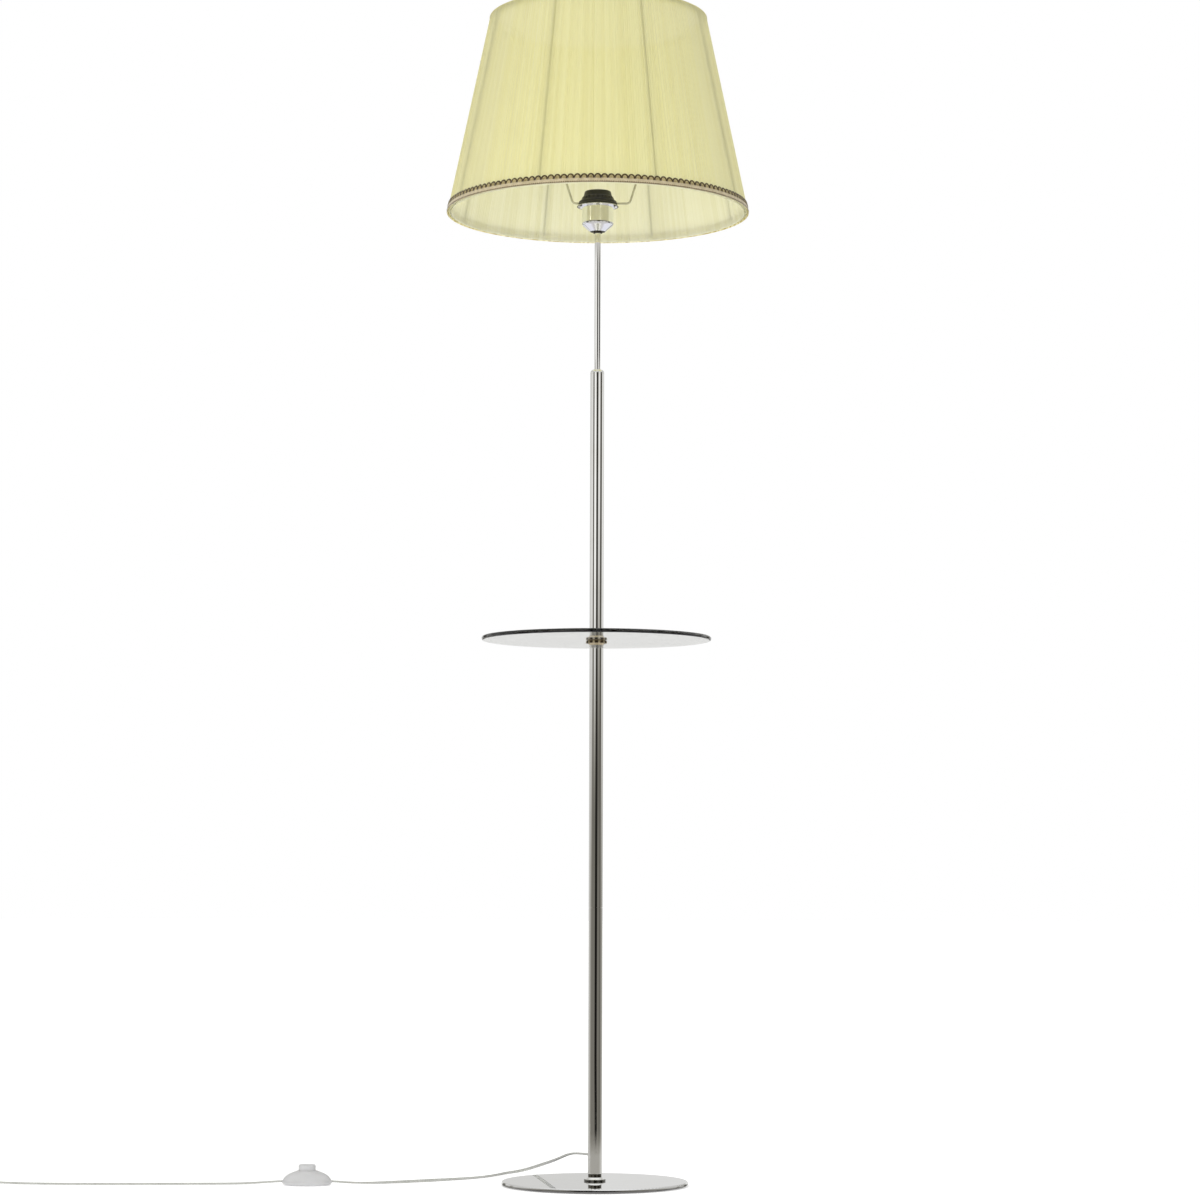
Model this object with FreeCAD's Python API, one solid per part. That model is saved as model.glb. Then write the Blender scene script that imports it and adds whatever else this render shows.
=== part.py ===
import FreeCAD, Part
import math
import os

from FreeCAD import Vector

# A floor lamp with a round glass table half way up its post. The post stands on the Z axis, the floor is
# z = 0, and the foot switch lies to the left, towards -X. Every size is in millimetres.

# ---- Driving sizes --------------------------------------------------------------------------------------

# Base
pad_diameter = 228.0
pad_thickness = 0.8
plate_diameter = 240.0
plate_thickness = 5.0
plate_rounding = 1.6
recess_diameter = 26.0  # under the plate, for the nut that holds the post
recess_depth = 3.2

# Threaded tubes, nuts and washers
thread_diameter = 10.0
thread_bore = 7.0
foot_nut_across_flats = 14.0
foot_nut_thickness = 2.2
washer_diameter = 20.0
washer_thickness = 0.8

# Post
post_diameter = 18.0
post_wall = 1.2
tube_length = 341.5  # each of the three tubes
tube_chamfer = 0.4
insert_length = 14.0  # the threaded inserts in the tube ends
spigot_length = 10.0  # the thread that joins the lower and middle tubes
flange_diameter = 28.0
flange_rim_height = 2.3
flange_cone_height = 2.5
flange_softening = 0.5
neck_step = 1.5  # from the post out to where a flange or collar starts to fall away
neck_rise = 0.3
foot_ring_diameter = 17.2
foot_ring_height = 4.4

# Where the cord comes out of the post
exit_height = 38.5
exit_bearing = 121.2  # degrees from +X, so towards the left rear
bush_diameter = 6.4
bush_flange_diameter = 9.4
bush_stands_out = 1.5
bush_stands_in = 0.6
lead_bend_radius = 6.0  # where the lead turns up the post

# Table
glass_diameter = 300.0
glass_thickness = 5.0
glass_edge = 2.0
glass_hole_diameter = 11.0
gasket_diameter = 24.0
gasket_thickness = 0.6
collar_diameter = 28.0
collar_rim_height = 3.0
collar_cone_height = 2.2
collar_neck_drop = 0.6
collar_rounding = 0.5
collar_flutes = 12
flute_depth = 0.9
flute_radius = 6.0

# Domed cap and stem
cap_height = 5.5
cap_side_height = 0.8
cap_flat_width = 0.8  # the level ring round the stem
cap_spigot_length = 8.0
stem_diameter = 8.0
stem_wall = 1.2
stem_visible = 181.8
stem_below_nut = 3.0
stem_nut_across_flats = 13.0
stem_nut_thickness = 5.0
locknut_diameter = 12.0
locknut_height = 2.2
locknut_rounding = 0.5

# Lampholder
cup_diameter = 42.0
cup_height = 35.3
cup_cone_height = 9.3
cup_floor_diameter = 20.0
cup_wall = 0.8
cup_shoulder_rounding = 2.5
cup_nut_across_flats = 11.0
cup_nut_thickness = 2.5
saucer_diameter = 54.8
saucer_thickness = 1.2
saucer_lip_drop = 2.0
saucer_lip_width = 3.6
saucer_lip_edge = 0.4
sleeve_diameter = 38.5
sleeve_top_diameter = 34.4
sleeve_height = 32.0
sleeve_taper_height = 8.0
sleeve_rounding = 1.2
sleeve_bore = 29.0
ring_nut_flange_diameter = 50.0
ring_nut_flange_height = 2.2
ring_nut_diameter = 41.0
ring_nut_height = 8.5
ring_nut_chamfer = 0.5
ring_nut_top_chamfer = 0.8
ring_nut_draft = 2.5
ring_nut_grips = 24
grip_radius = 0.9
grip_outset = 0.7
block_foot_diameter = 20.0
block_foot_height = 9.0
block_flange_height = 9.5
block_top_diameter = 33.0
block_top_height = 9.0
socket_bore = 26.6
socket_wall = 0.4
socket_height = 22.0
contact_diameter = 8.0
contact_rim = 0.8
contact_height = 3.0
contact_recess_diameter = 12.0
terminal_screw_diameter = 3.0
terminal_head_diameter = 5.0
terminal_head_height = 2.0
terminal_screw_length = 6.0
terminal_slot = 0.8
terminal_spread = 28.0

# Shade
shade_bottom_diameter = 400.0
shade_top_diameter = 290.0
shade_height = 263.0
holder_rise = 12.4  # how far the saucer stands up inside the shade
ring_wire = 3.0
rib_wire = 2.5
rib_count = 8
arm_wire = 2.8
arm_foot_reaches = (42.0, 33.0)  # how far out of the axis each arm turns upwards, +X and -X
arm_slope = 72.5  # degrees from level
arm_bend = 6.0
arm_top_below_ring = 14.0
fitter_diameter = 49.0
fitter_bore = 41.0
fitter_thickness = 1.6
cloth_thickness = 0.5
pleat_count = 200
pleat_depth = 0.5
braid_thickness = 1.1
braid_height = 12.5
binding_thickness = 0.6
binding_height = 7.0

# Cord and its pieces
cord_diameter = 3.0
coil_inner_radius = 13.5  # to the middle of the innermost turn
coil_turn_pitch = 4.2
coil_layer_pitch = 3.6
coil_turns_per_layer = 2.5
coil_layers = 4
coil_climb = 0.5  # the part of a turn that climbs from layer to layer
coil_centre = (-815.0, 15.0)
tie_thickness = 0.8
tie_width = 5.0
tie_rounding = 1.6
plug_length = 36.0
plug_face_width = 35.0
plug_waist_length = 22.3  # from the neck to where it starts to narrow
plug_waist_width = 30.0
plug_neck_width = 16.0
plug_neck_thickness = 8.2
plug_thickness = 13.7
plug_edge_slope = 0.3  # level part of the slanting edges, against the thickness
pin_diameter = 4.0
pin_rounding = 1.2
pin_length = 19.0
pin_spacing = 18.6

# Foot switch
switch_centre = (-370.0, -8.0)
switch_wall = 1.6
switch_floor = 2.4
parting_height = 5.0
# Half lengths, half widths and heights of the base, from the floor up to its last rounding
base_sections = (
    (27.0, 16.6, 0.0),
    (30.0, 18.9, 1.0),
    (31.4, 20.1, switch_floor),
)
# Half lengths, half widths and heights of the cover, from where it meets the base to its top
cover_sections = (
    (32.3, 21.0, parting_height),
    (30.0, 19.8, 8.8),
    (26.0, 17.5, 12.8),
    (20.0, 15.3, 16.0),
    (13.6, 13.4, 18.5),
)
button_diameter = 22.0
button_height = 26.5
button_rounding = 2.0
button_wall = 1.5
button_travel = 4.0
button_flange_diameter = 24.2
button_flange_height = 1.2
plunger_diameter = 6.0
plunger_end = 9.0
mechanism_size = (16.0, 14.0, 8.0)  # length, width and the height of its top over the floor
mechanism_rounding = 1.2
spring_radius = 4.6
spring_wire = 0.9
spring_turns = 5
terminal_size = (8.0, 10.0, 8.0)
clamp_screw_diameter = 3.6
clamp_screw_height = 1.2
clamp_slot = 0.6
terminal_face = 24.0  # from the switch's middle to where the cord ends
contact_strip = (4.0, 0.8, 4.4)  # width, thickness and height over the floor
case_screw_place = (13.0, 11.0)
case_screw_diameter = 2.4
case_screw_head_diameter = 5.0
case_screw_head_height = 1.2
case_screw_end = 11.0
case_cross_length = 3.0
case_cross_width = 0.7
case_boss_diameter = 6.0
case_boss_top = 12.0

# Clearances
thread_gap = 0.05  # radial, between a thread and its mate
slip_gap = 0.05  # radial, between an insert and its tube
hole_gap = 0.2  # radial, round a tube or screw that passes through
seat_gap = 0.3  # between curved or soft faces that lie against each other
running_gap = 0.3  # round the push button
cord_gap = 0.1  # radial, round a cord in its hole
tie_gap = 0.5  # between the coil and its tie
floor_gap = 0.1  # under the tie

# The share of the shorter run that an arc on a route may take up
arc_share = 0.45

# ---- Heights that follow --------------------------------------------------------------------------------

plate_bottom = pad_thickness
plate_top = plate_bottom + plate_thickness
foot_ring_bottom = plate_top + flange_rim_height + flange_cone_height
lower_tube_bottom = foot_ring_bottom + foot_ring_height
post_seam = lower_tube_bottom + tube_length
middle_tube_top = post_seam + tube_length
collar_top = middle_tube_top + collar_cone_height + collar_rim_height
glass_bottom = collar_top + gasket_thickness
glass_top_height = glass_bottom + glass_thickness
upper_flange_bottom = glass_top_height + gasket_thickness
upper_tube_bottom = upper_flange_bottom + flange_rim_height + flange_cone_height
upper_tube_top = upper_tube_bottom + tube_length
post_top = upper_tube_top + cap_height
cup_bottom = post_top + stem_visible + locknut_height
cup_top = cup_bottom + cup_height
saucer_top = cup_top + saucer_thickness
fitter_top = saucer_top + fitter_thickness
cup_nut_bottom = cup_bottom + cup_wall
block_bottom = cup_nut_bottom + cup_nut_thickness
block_flange_bottom = block_bottom + block_foot_height
block_flange_top = block_flange_bottom + block_flange_height
block_top = block_flange_top + block_top_height
sleeve_top = block_flange_top + sleeve_height
shade_bottom = saucer_top - holder_rise
shade_top = shade_bottom + shade_height

post_radius = post_diameter / 2
post_bore = post_radius - post_wall
insert_radius = post_bore - slip_gap
thread_radius = thread_diameter / 2
cord_radius = cord_diameter / 2

# ---- Helpers --------------------------------------------------------------------------------------------


def turned(outline):
    """A solid of revolution about Z. A point is (radius, height), and a pair of points is an arc's middle
    and end."""
    edges = []
    start = here = Vector(outline[0][0], 0, outline[0][1])
    for step in list(outline[1:]) + [outline[0]]:
        if isinstance(step[0], tuple):
            middle = Vector(step[0][0], 0, step[0][1])
            there = Vector(step[1][0], 0, step[1][1])
            edges.append(Part.Arc(here, middle, there).toShape())
        else:
            there = Vector(step[0], 0, step[1])
            if there.distanceToPoint(here) > 1e-6:
                edges.append(Part.LineSegment(here, there).toShape())
        here = there
    face = Part.Face(Part.Wire(edges))
    return face.revolve(Vector(0, 0, 0), Vector(0, 0, 1), 360)


def eased(before, corner, after, reach):
    """The points that round an outline's corner with an arc, from this far before it to as far after."""
    corner = Vector(corner[0], 0, corner[1])
    back = (Vector(before[0], 0, before[1]) - corner).normalize()
    onward = (Vector(after[0], 0, after[1]) - corner).normalize()
    half_turn = (math.pi - back.getAngle(onward)) / 2
    radius = reach / math.tan(half_turn)
    middle = corner + (back + onward).normalize() * (radius / math.cos(half_turn) - radius)
    entry = corner + back * reach
    leave = corner + onward * reach
    return [(entry.x, entry.z), ((middle.x, middle.z), (leave.x, leave.z))]


def pipe(outer_radius, inner_radius, bottom, top):
    """An upright tube on the Z axis."""
    outer = Part.makeCylinder(outer_radius, top - bottom, Vector(0, 0, bottom))
    return outer.cut(Part.makeCylinder(inner_radius, top - bottom, Vector(0, 0, bottom)))


def hexagon(across_flats, bore_radius, bottom, top):
    """A hexagonal nut on the Z axis."""
    corner_radius = across_flats / math.sqrt(3)
    corners = []
    for i in range(7):
        angle = math.radians(60 * i)
        corners.append(Vector(corner_radius * math.cos(angle), corner_radius * math.sin(angle), bottom))
    body = Part.Face(Part.makePolygon(corners)).extrude(Vector(0, 0, top - bottom))
    return body.cut(Part.makeCylinder(bore_radius, top - bottom, Vector(0, 0, bottom)))


def rounded(shape, radius, picks):
    """The shape with a fillet on the edges that picks chooses."""
    return shape.makeFillet(radius, [edge for edge in shape.Edges if picks(edge)])


def one_solid(shape):
    """A clean single solid from a fused or cut shape."""
    shape = shape.removeSplitter()
    return shape.Solids[0] if len(shape.Solids) == 1 else shape


def moved(shape, x, y, z=0.0):
    copy = shape.copy()
    copy.translate(Vector(x, y, z))
    return copy


def turned_about_z(shape, degrees):
    copy = shape.copy()
    copy.rotate(Vector(0, 0, 0), Vector(0, 0, 1), degrees)
    return copy


def route_wire(points, radii=None, label=None):
    """Straight runs between the points, joined by tangent arcs. Without radii, each arc is as large as its
    runs allow."""
    points = [Vector(*p) for p in points]
    edges = []
    here = points[0]
    made = []
    for i in range(1, len(points) - 1):
        back = points[i - 1] - points[i]
        onward = points[i + 1] - points[i]
        half_turn = (math.pi - back.getAngle(onward)) / 2
        shorter = min(back.Length, onward.Length)
        radius = radii[i - 1] if radii else arc_share * shorter / math.tan(half_turn)
        made.append(radius)
        reach = radius * math.tan(half_turn)
        back.normalize()
        onward.normalize()
        inward = (back + onward).normalize()
        entry = points[i] + back * reach
        middle = points[i] + inward * (radius / math.cos(half_turn) - radius)
        leave = points[i] + onward * reach
        edges.append(Part.LineSegment(here, entry).toShape())
        edges.append(Part.Arc(entry, middle, leave).toShape())
        here = leave
    edges.append(Part.LineSegment(here, points[-1]).toShape())
    if label:
        print(label, "bend radii", [round(r, 1) for r in made])
    return Part.Wire(edges)


def swept(wire, radius):
    """A round bar along a wire."""
    first = wire.Edges[0]
    start = first.valueAt(first.FirstParameter)
    along = first.tangentAt(first.FirstParameter)
    circle = Part.Wire(Part.makeCircle(radius, start, along))
    return wire.makePipeShell([circle], True, False)


def cord(points, label, radii=None):
    """A length of cord, with its volume compared with its section times its length."""
    wire = route_wire(points, radii, label)
    tube = swept(wire, cord_radius)
    expected = math.pi * cord_radius**2 * wire.Length
    print(label, "length %.1f, volume share %.4f" % (wire.Length, tube.Volume / expected))
    return tube


def arc_from(start, along, end):
    """The arc that leaves start in the direction along and reaches end."""
    chord = end - start
    half = along.getAngle(chord)
    level = Vector(chord).normalize()
    side = along - level * along.dot(level)
    if side.Length < 1e-7:
        return Part.LineSegment(start, end).toShape()
    side.normalize()
    middle = start + chord * 0.5 + side * (chord.Length / 2 * math.tan(half / 2))
    return Part.Arc(start, middle, end).toShape()


def biarc(start, leaving, end, arriving):
    """Two arcs that join two points with the given directions."""
    span = end - start
    both = leaving + arriving
    spread = 2 * (1 - leaving.dot(arriving))
    reach = (-span.dot(both) + math.sqrt(span.dot(both) ** 2 + spread * span.dot(span))) / spread
    joint = (start + end + (leaving - arriving) * reach) * 0.5
    return [arc_from(start, leaving, joint), arc_from(end, arriving * -1, joint)]


def wound_wire(place, turns, ends=0.0, first_way=None, last_way=None):
    """A winding from biarcs of a quarter turn. place gives the point at a number of turns, and ends is the
    length of the straight piece at each end."""
    small = 1e-4

    def way(turn):
        return (place(turn + small) - place(turn - small)).normalize()

    count = int(round(turns * 4))
    edges = []
    points = [place(i / 4) for i in range(count + 1)]
    ways = [way(i / 4) for i in range(count + 1)]
    ways[0] = first_way or ways[0]
    ways[-1] = last_way or ways[-1]
    if ends:
        edges.append(Part.LineSegment(points[0] - ways[0] * ends, points[0]).toShape())
    for i in range(count):
        edges += biarc(points[i], ways[i], points[i + 1], ways[i + 1])
    if ends:
        edges.append(Part.LineSegment(points[-1], points[-1] + ways[-1] * ends).toShape())
    return Part.Wire(Part.sortEdges(edges)[0])


def least_gap(place, turns, diameter):
    """The least gap between a winding and itself, measured on points."""
    steps = 48
    points = [place(i / steps) for i in range(int(turns * steps) + 1)]
    least = math.inf
    for i, here in enumerate(points):
        for there in points[i + steps // 2 :]:
            least = min(least, here.distanceToPoint(there))
    return least - diameter


# ---- Base -----------------------------------------------------------------------------------------------


def floor_pad():
    return pipe(pad_diameter / 2, recess_diameter / 2, 0, pad_thickness)


def base_plate():
    plate = Part.makeCylinder(plate_diameter / 2, plate_thickness, Vector(0, 0, plate_bottom))
    plate = rounded(plate, plate_rounding, lambda e: e.Closed)
    recess = Part.makeCylinder(recess_diameter / 2, recess_depth, Vector(0, 0, plate_bottom))
    hole = Part.makeCylinder(thread_radius + hole_gap, plate_thickness, Vector(0, 0, plate_bottom))
    return plate.cut(recess).cut(hole)


def foot_washer():
    top = plate_bottom + recess_depth
    return pipe(washer_diameter / 2, thread_radius + hole_gap, top - washer_thickness, top)


def foot_nut():
    top = plate_bottom + recess_depth - washer_thickness
    return hexagon(foot_nut_across_flats, thread_radius + thread_gap, top - foot_nut_thickness, top)


def foot_stud():
    bottom = plate_bottom + recess_depth - washer_thickness - foot_nut_thickness
    return pipe(thread_radius, thread_bore / 2, bottom, lower_tube_bottom + insert_length)


# ---- Post -----------------------------------------------------------------------------------------------


def post_flange(bottom):
    """The chrome rose between a flat plate and a tube."""
    rim = bottom + flange_rim_height
    top = rim + flange_cone_height
    hole = thread_radius + hole_gap
    edge = flange_diameter / 2
    soft = flange_softening
    return turned(
        [
            (hole, bottom),
            (edge - soft, bottom),
            (edge, bottom + soft),
            (edge, rim - soft),
            (edge - soft, rim),
            (post_radius + neck_step, rim + neck_rise),
            (post_radius, top),
            (hole, top),
        ]
    )


def foot_ring():
    return pipe(foot_ring_diameter / 2, thread_radius + hole_gap, foot_ring_bottom, lower_tube_bottom)


def post_tube(bottom):
    """One tube of the post, with its ends broken by a small chamfer that shows as a fine line."""
    top = bottom + tube_length
    return turned(
        [
            (post_bore, bottom),
            (post_radius - tube_chamfer, bottom),
            (post_radius, bottom + tube_chamfer),
            (post_radius, top - tube_chamfer),
            (post_radius - tube_chamfer, top),
            (post_bore, top),
        ]
    )


exit_way = Vector(math.cos(math.radians(exit_bearing)), math.sin(math.radians(exit_bearing)), 0)
exit_level = Vector(0, 0, exit_height)


def along_exit(radius, near, far):
    """A cylinder that points out of the post at the cord's hole."""
    return Part.makeCylinder(radius, far - near, exit_level + exit_way * near, exit_way)


def lower_tube():
    return post_tube(lower_tube_bottom).cut(along_exit(bush_diameter / 2 + slip_gap, 0, post_diameter))


def cord_bush():
    outside = post_radius + bush_stands_out
    flange = along_exit(bush_flange_diameter / 2, post_radius / 2, outside)
    below = exit_level - Vector(0, 0, bush_flange_diameter)
    flange = flange.cut(Part.makeCylinder(post_radius + slip_gap, 2 * bush_flange_diameter, below))
    barrel = along_exit(bush_diameter / 2, post_bore - bush_stands_in, outside)
    bush = flange.fuse(barrel).cut(along_exit(cord_radius + cord_gap, 0, post_diameter))
    return one_solid(bush)


def threaded_insert(bottom):
    return pipe(insert_radius, thread_radius + thread_gap, bottom, bottom + insert_length)


def seam_spigot():
    """The insert of the middle tube, with the thread that goes down into the lower tube."""
    body = pipe(insert_radius, thread_bore / 2, post_seam, post_seam + insert_length)
    thread = pipe(thread_radius, thread_bore / 2, post_seam - spigot_length, post_seam)
    return one_solid(body.fuse(thread))


# ---- Table ----------------------------------------------------------------------------------------------


def table_collar():
    """The collar under the glass, with flutes round its rim."""
    rim_bottom = middle_tube_top + collar_cone_height
    neck = (post_radius + neck_step, rim_bottom - collar_neck_drop)
    edge = collar_diameter / 2
    hole = thread_radius + hole_gap
    collar = turned(
        [
            (hole, middle_tube_top),
            (post_radius, middle_tube_top),
            neck,
            *eased(neck, (edge, rim_bottom), (edge, collar_top), collar_rounding),
            *eased((edge, rim_bottom), (edge, collar_top), (hole, collar_top), collar_rounding),
            (hole, collar_top),
        ]
    )
    flute_foot = Vector(edge - flute_depth + flute_radius, 0, rim_bottom)
    flute = Part.makeCylinder(flute_radius, collar_rim_height, flute_foot)
    flutes = [turned_about_z(flute, 360 * i / collar_flutes - 90) for i in range(collar_flutes)]
    return one_solid(collar.cut(Part.Compound(flutes)))


def gasket(bottom):
    return pipe(gasket_diameter / 2, thread_radius + hole_gap, bottom, bottom + gasket_thickness)


def glass_top():
    disc = Part.makeCylinder(glass_diameter / 2, glass_thickness, Vector(0, 0, glass_bottom))
    disc = rounded(disc, glass_edge, lambda e: e.Closed)
    return disc.cut(Part.makeCylinder(glass_hole_diameter / 2, glass_thickness, Vector(0, 0, glass_bottom)))


def table_stud():
    bottom = middle_tube_top - insert_length
    return pipe(thread_radius, thread_bore / 2, bottom, upper_tube_bottom + insert_length)


# ---- Domed cap and stem ---------------------------------------------------------------------------------


def top_cap():
    hole = stem_diameter / 2 + hole_gap
    spigot_bottom = upper_tube_top - cap_spigot_length
    flat = hole + cap_flat_width
    side_top = upper_tube_top + cap_side_height
    shoulder = flat + (post_radius - flat) * math.sin(math.radians(45))
    bulge = side_top + (post_top - side_top) * math.sin(math.radians(45))
    return turned(
        [
            (hole, spigot_bottom),
            (insert_radius, spigot_bottom),
            (insert_radius, upper_tube_top),
            (post_radius, upper_tube_top),
            (post_radius, side_top),
            ((shoulder, bulge), (flat, post_top)),
            (hole, post_top),
        ]
    )


def stem_nut():
    top = upper_tube_top - cap_spigot_length
    return hexagon(stem_nut_across_flats, stem_diameter / 2 + thread_gap, top - stem_nut_thickness, top)


def stem_rod():
    bottom = upper_tube_top - cap_spigot_length - stem_nut_thickness - stem_below_nut
    radius = stem_diameter / 2
    return pipe(radius, radius - stem_wall, bottom, cup_nut_bottom + cup_nut_thickness)


def stem_locknut():
    bottom = cup_bottom - locknut_height
    edge = locknut_diameter / 2
    hole = stem_diameter / 2 + thread_gap
    return turned(
        [
            (hole, bottom),
            *eased((hole, bottom), (edge, bottom), (edge, cup_bottom), locknut_rounding),
            (edge, cup_bottom),
            (hole, cup_bottom),
        ]
    )


# ---- Lampholder -----------------------------------------------------------------------------------------


def holder_cup():
    radius = cup_diameter / 2
    floor = cup_floor_diameter / 2
    hole = stem_diameter / 2 + hole_gap
    shoulder = cup_bottom + cup_cone_height
    return turned(
        [
            (hole, cup_bottom),
            (floor, cup_bottom),
            *eased((floor, cup_bottom), (radius, shoulder), (radius, cup_top), cup_shoulder_rounding),
            (radius, cup_top),
            (radius - cup_wall, cup_top),
            (radius - cup_wall, shoulder + cup_wall),
            (floor - cup_wall / 2, cup_bottom + cup_wall),
            (hole, cup_bottom + cup_wall),
        ]
    )


def cup_nut():
    top = cup_nut_bottom + cup_nut_thickness
    return hexagon(cup_nut_across_flats, stem_diameter / 2 + thread_gap, cup_nut_bottom, top)


sleeve_shoulder_radius = cup_diameter / 2 - cup_wall - seat_gap


def saucer():
    """The polished disc under the shade's fitter, with its edge sloping down."""
    edge = saucer_diameter / 2
    hole = sleeve_diameter / 2 + hole_gap
    lip_bottom = cup_top - saucer_lip_drop
    return turned(
        [
            (hole, cup_top),
            (edge - saucer_lip_width, cup_top),
            (edge - saucer_thickness, lip_bottom),
            (edge, lip_bottom),
            (edge, lip_bottom + saucer_lip_edge),
            (edge - saucer_lip_width, saucer_top),
            (hole, saucer_top),
        ]
    )


def contact_block():
    """The insulator that carries the screw shell and the contacts."""
    bore = cord_radius + hole_gap
    body = turned(
        [
            (bore, block_bottom),
            (block_foot_diameter / 2, block_bottom),
            (block_foot_diameter / 2, block_flange_bottom),
            (sleeve_shoulder_radius, block_flange_bottom),
            (sleeve_shoulder_radius, block_flange_top),
            (block_top_diameter / 2, block_flange_top),
            (block_top_diameter / 2, block_top),
            (contact_recess_diameter / 2, block_top),
            (contact_recess_diameter / 2, block_top - contact_height),
            (0, block_top - contact_height),
            (0, block_flange_bottom),
            (bore, block_flange_bottom),
        ]
    )
    for side in (-1, 1):
        place = Vector(side * terminal_spread / 2, 0, block_flange_bottom)
        radius = terminal_screw_diameter / 2 + thread_gap
        body = body.cut(Part.makeCylinder(radius, terminal_screw_length + hole_gap, place))
    return body


def terminal_screws():
    screws = []
    for side in (-1, 1):
        head_bottom = Vector(side * terminal_spread / 2, 0, block_flange_bottom - terminal_head_height)
        head = Part.makeCylinder(terminal_head_diameter / 2, terminal_head_height, head_bottom)
        length = terminal_head_height + terminal_screw_length
        shank = Part.makeCylinder(terminal_screw_diameter / 2, length, head_bottom)
        slot_size = (terminal_head_diameter * 2, terminal_slot, terminal_slot)
        slot_place = head_bottom - Vector(terminal_head_diameter, terminal_slot / 2, 0)
        screws.append(one_solid(head.fuse(shank).cut(Part.makeBox(*slot_size, slot_place))))
    return Part.Compound(screws)


def screw_shell():
    inner = socket_bore / 2
    return pipe(inner + socket_wall, inner, block_top, block_top + socket_height)


def centre_contact():
    """A domed contact in the block's recess: part of a ball whose middle lies on the axis."""
    radius = contact_diameter / 2
    bottom = block_top - contact_height
    rim = bottom + contact_rim
    rise = block_top - rim
    ball = (radius**2 + rise**2) / (2 * rise)
    half_angle = math.asin(radius / ball) / 2
    middle = (ball * math.sin(half_angle), block_top - ball * (1 - math.cos(half_angle)))
    return turned([(0, bottom), (radius, bottom), (radius, rim), (middle, (0, block_top))])


def holder_sleeve():
    """The black outer sleeve, with a shoulder that the saucer rests on."""
    outer = sleeve_diameter / 2
    inner = sleeve_bore / 2
    skirt = block_top_diameter / 2 + seat_gap
    top_radius = sleeve_top_diameter / 2
    taper = sleeve_top - sleeve_taper_height
    return turned(
        [
            (skirt, block_flange_top),
            (sleeve_shoulder_radius, block_flange_top),
            (sleeve_shoulder_radius, cup_top),
            (outer, cup_top),
            (outer, taper),
            *eased((outer, taper), (top_radius, sleeve_top), (inner, sleeve_top), sleeve_rounding),
            (inner, sleeve_top),
            (inner, block_top + seat_gap),
            (skirt, block_top + seat_gap),
        ]
    )


def ring_nut():
    """The nut that clamps the shade's fitter, with finger grips round it."""
    bore = sleeve_diameter / 2 + thread_gap
    edge = ring_nut_flange_diameter / 2
    side = ring_nut_diameter / 2
    flange_top = fitter_top + ring_nut_flange_height
    top = fitter_top + ring_nut_height
    body = turned(
        [
            (bore, fitter_top),
            (edge - ring_nut_chamfer, fitter_top),
            (edge, fitter_top + ring_nut_chamfer),
            (edge, flange_top - ring_nut_chamfer),
            (edge - ring_nut_chamfer, flange_top),
            (side + ring_nut_draft, flange_top),
            (side, top - ring_nut_top_chamfer),
            (side - ring_nut_top_chamfer, top),
            (bore, top),
        ]
    )
    groove_foot = Vector(side + grip_outset, 0, flange_top)
    groove = Part.makeCylinder(grip_radius, top - flange_top, groove_foot)
    grooves = [turned_about_z(groove, 360 * i / ring_nut_grips) for i in range(ring_nut_grips)]
    return one_solid(body.cut(Part.Compound(grooves)))


def inner_lead():
    """The lead from the bush up the post to the contact block."""
    corner = Vector(0, 0, exit_height)
    start = exit_level + exit_way * (post_radius + bush_stands_out)
    end = Vector(0, 0, block_flange_bottom)
    return swept(route_wire([tuple(start), tuple(corner), tuple(end)], [lead_bend_radius]), cord_radius)


# ---- Shade ----------------------------------------------------------------------------------------------

slant = math.atan((shade_bottom_diameter - shade_top_diameter) / 2 / shade_height)


def level_gap(thickness):
    """A wall's thickness, measured square to the slanting side, as it is across a level line."""
    return thickness / math.cos(slant)


cover_outset = level_gap(seat_gap + cloth_thickness + pleat_depth)
braid_outset = level_gap(seat_gap + braid_thickness)
ring_lift = ring_wire / 2 + cloth_thickness + seat_gap
bottom_ring_height = shade_bottom + ring_lift
top_ring_height = shade_top - ring_lift - binding_thickness


def side_radius(height, inset=0.0):
    """The radius of the shade's outer side at a height, less an inset that is measured level."""
    share = (height - shade_bottom) / shade_height
    bottom = shade_bottom_diameter / 2
    return bottom + (shade_top_diameter / 2 - bottom) * share - inset


wire_inset = braid_outset + cover_outset + level_gap(ring_wire / 2)


def wire_ring(height):
    radius = side_radius(height, wire_inset)
    return Part.makeTorus(radius, ring_wire / 2, Vector(0, 0, height))


def shade_bottom_ring():
    return wire_ring(bottom_ring_height)


def shade_top_ring():
    return wire_ring(top_ring_height)


def shade_ribs():
    """The straight wires between the two rings, half a step off the arms."""
    bottom = Vector(side_radius(bottom_ring_height, wire_inset), 0, bottom_ring_height)
    top = Vector(side_radius(top_ring_height, wire_inset), 0, top_ring_height)
    rib = Part.makeCylinder(rib_wire / 2, (top - bottom).Length, bottom, top - bottom)
    rib = rib.cut(shade_bottom_ring()).cut(shade_top_ring())
    step = 360 / rib_count
    return Part.Compound([turned_about_z(rib, step * (i + 0.5)) for i in range(rib_count)])


def arms(radius):
    """The two arms that drop from the top ring to the fitter, with wire of this radius."""
    level = saucer_top + arm_wire / 2 + slip_gap
    ring_radius = side_radius(top_ring_height, wire_inset)
    knee_height = top_ring_height - arm_top_below_ring
    made = []
    for turn, foot_reach in zip((0, 180), arm_foot_reaches):
        knee = foot_reach + (knee_height - level) / math.tan(math.radians(arm_slope))
        points = [
            (fitter_diameter / 2 - arm_wire / 2, 0, level),
            (foot_reach, 0, level),
            (knee, 0, knee_height),
            (ring_radius, 0, top_ring_height),
        ]
        arm = swept(route_wire(points, [arm_bend, 2 * arm_bend]), radius)
        made.append(turned_about_z(arm, turn))
    return made


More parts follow.
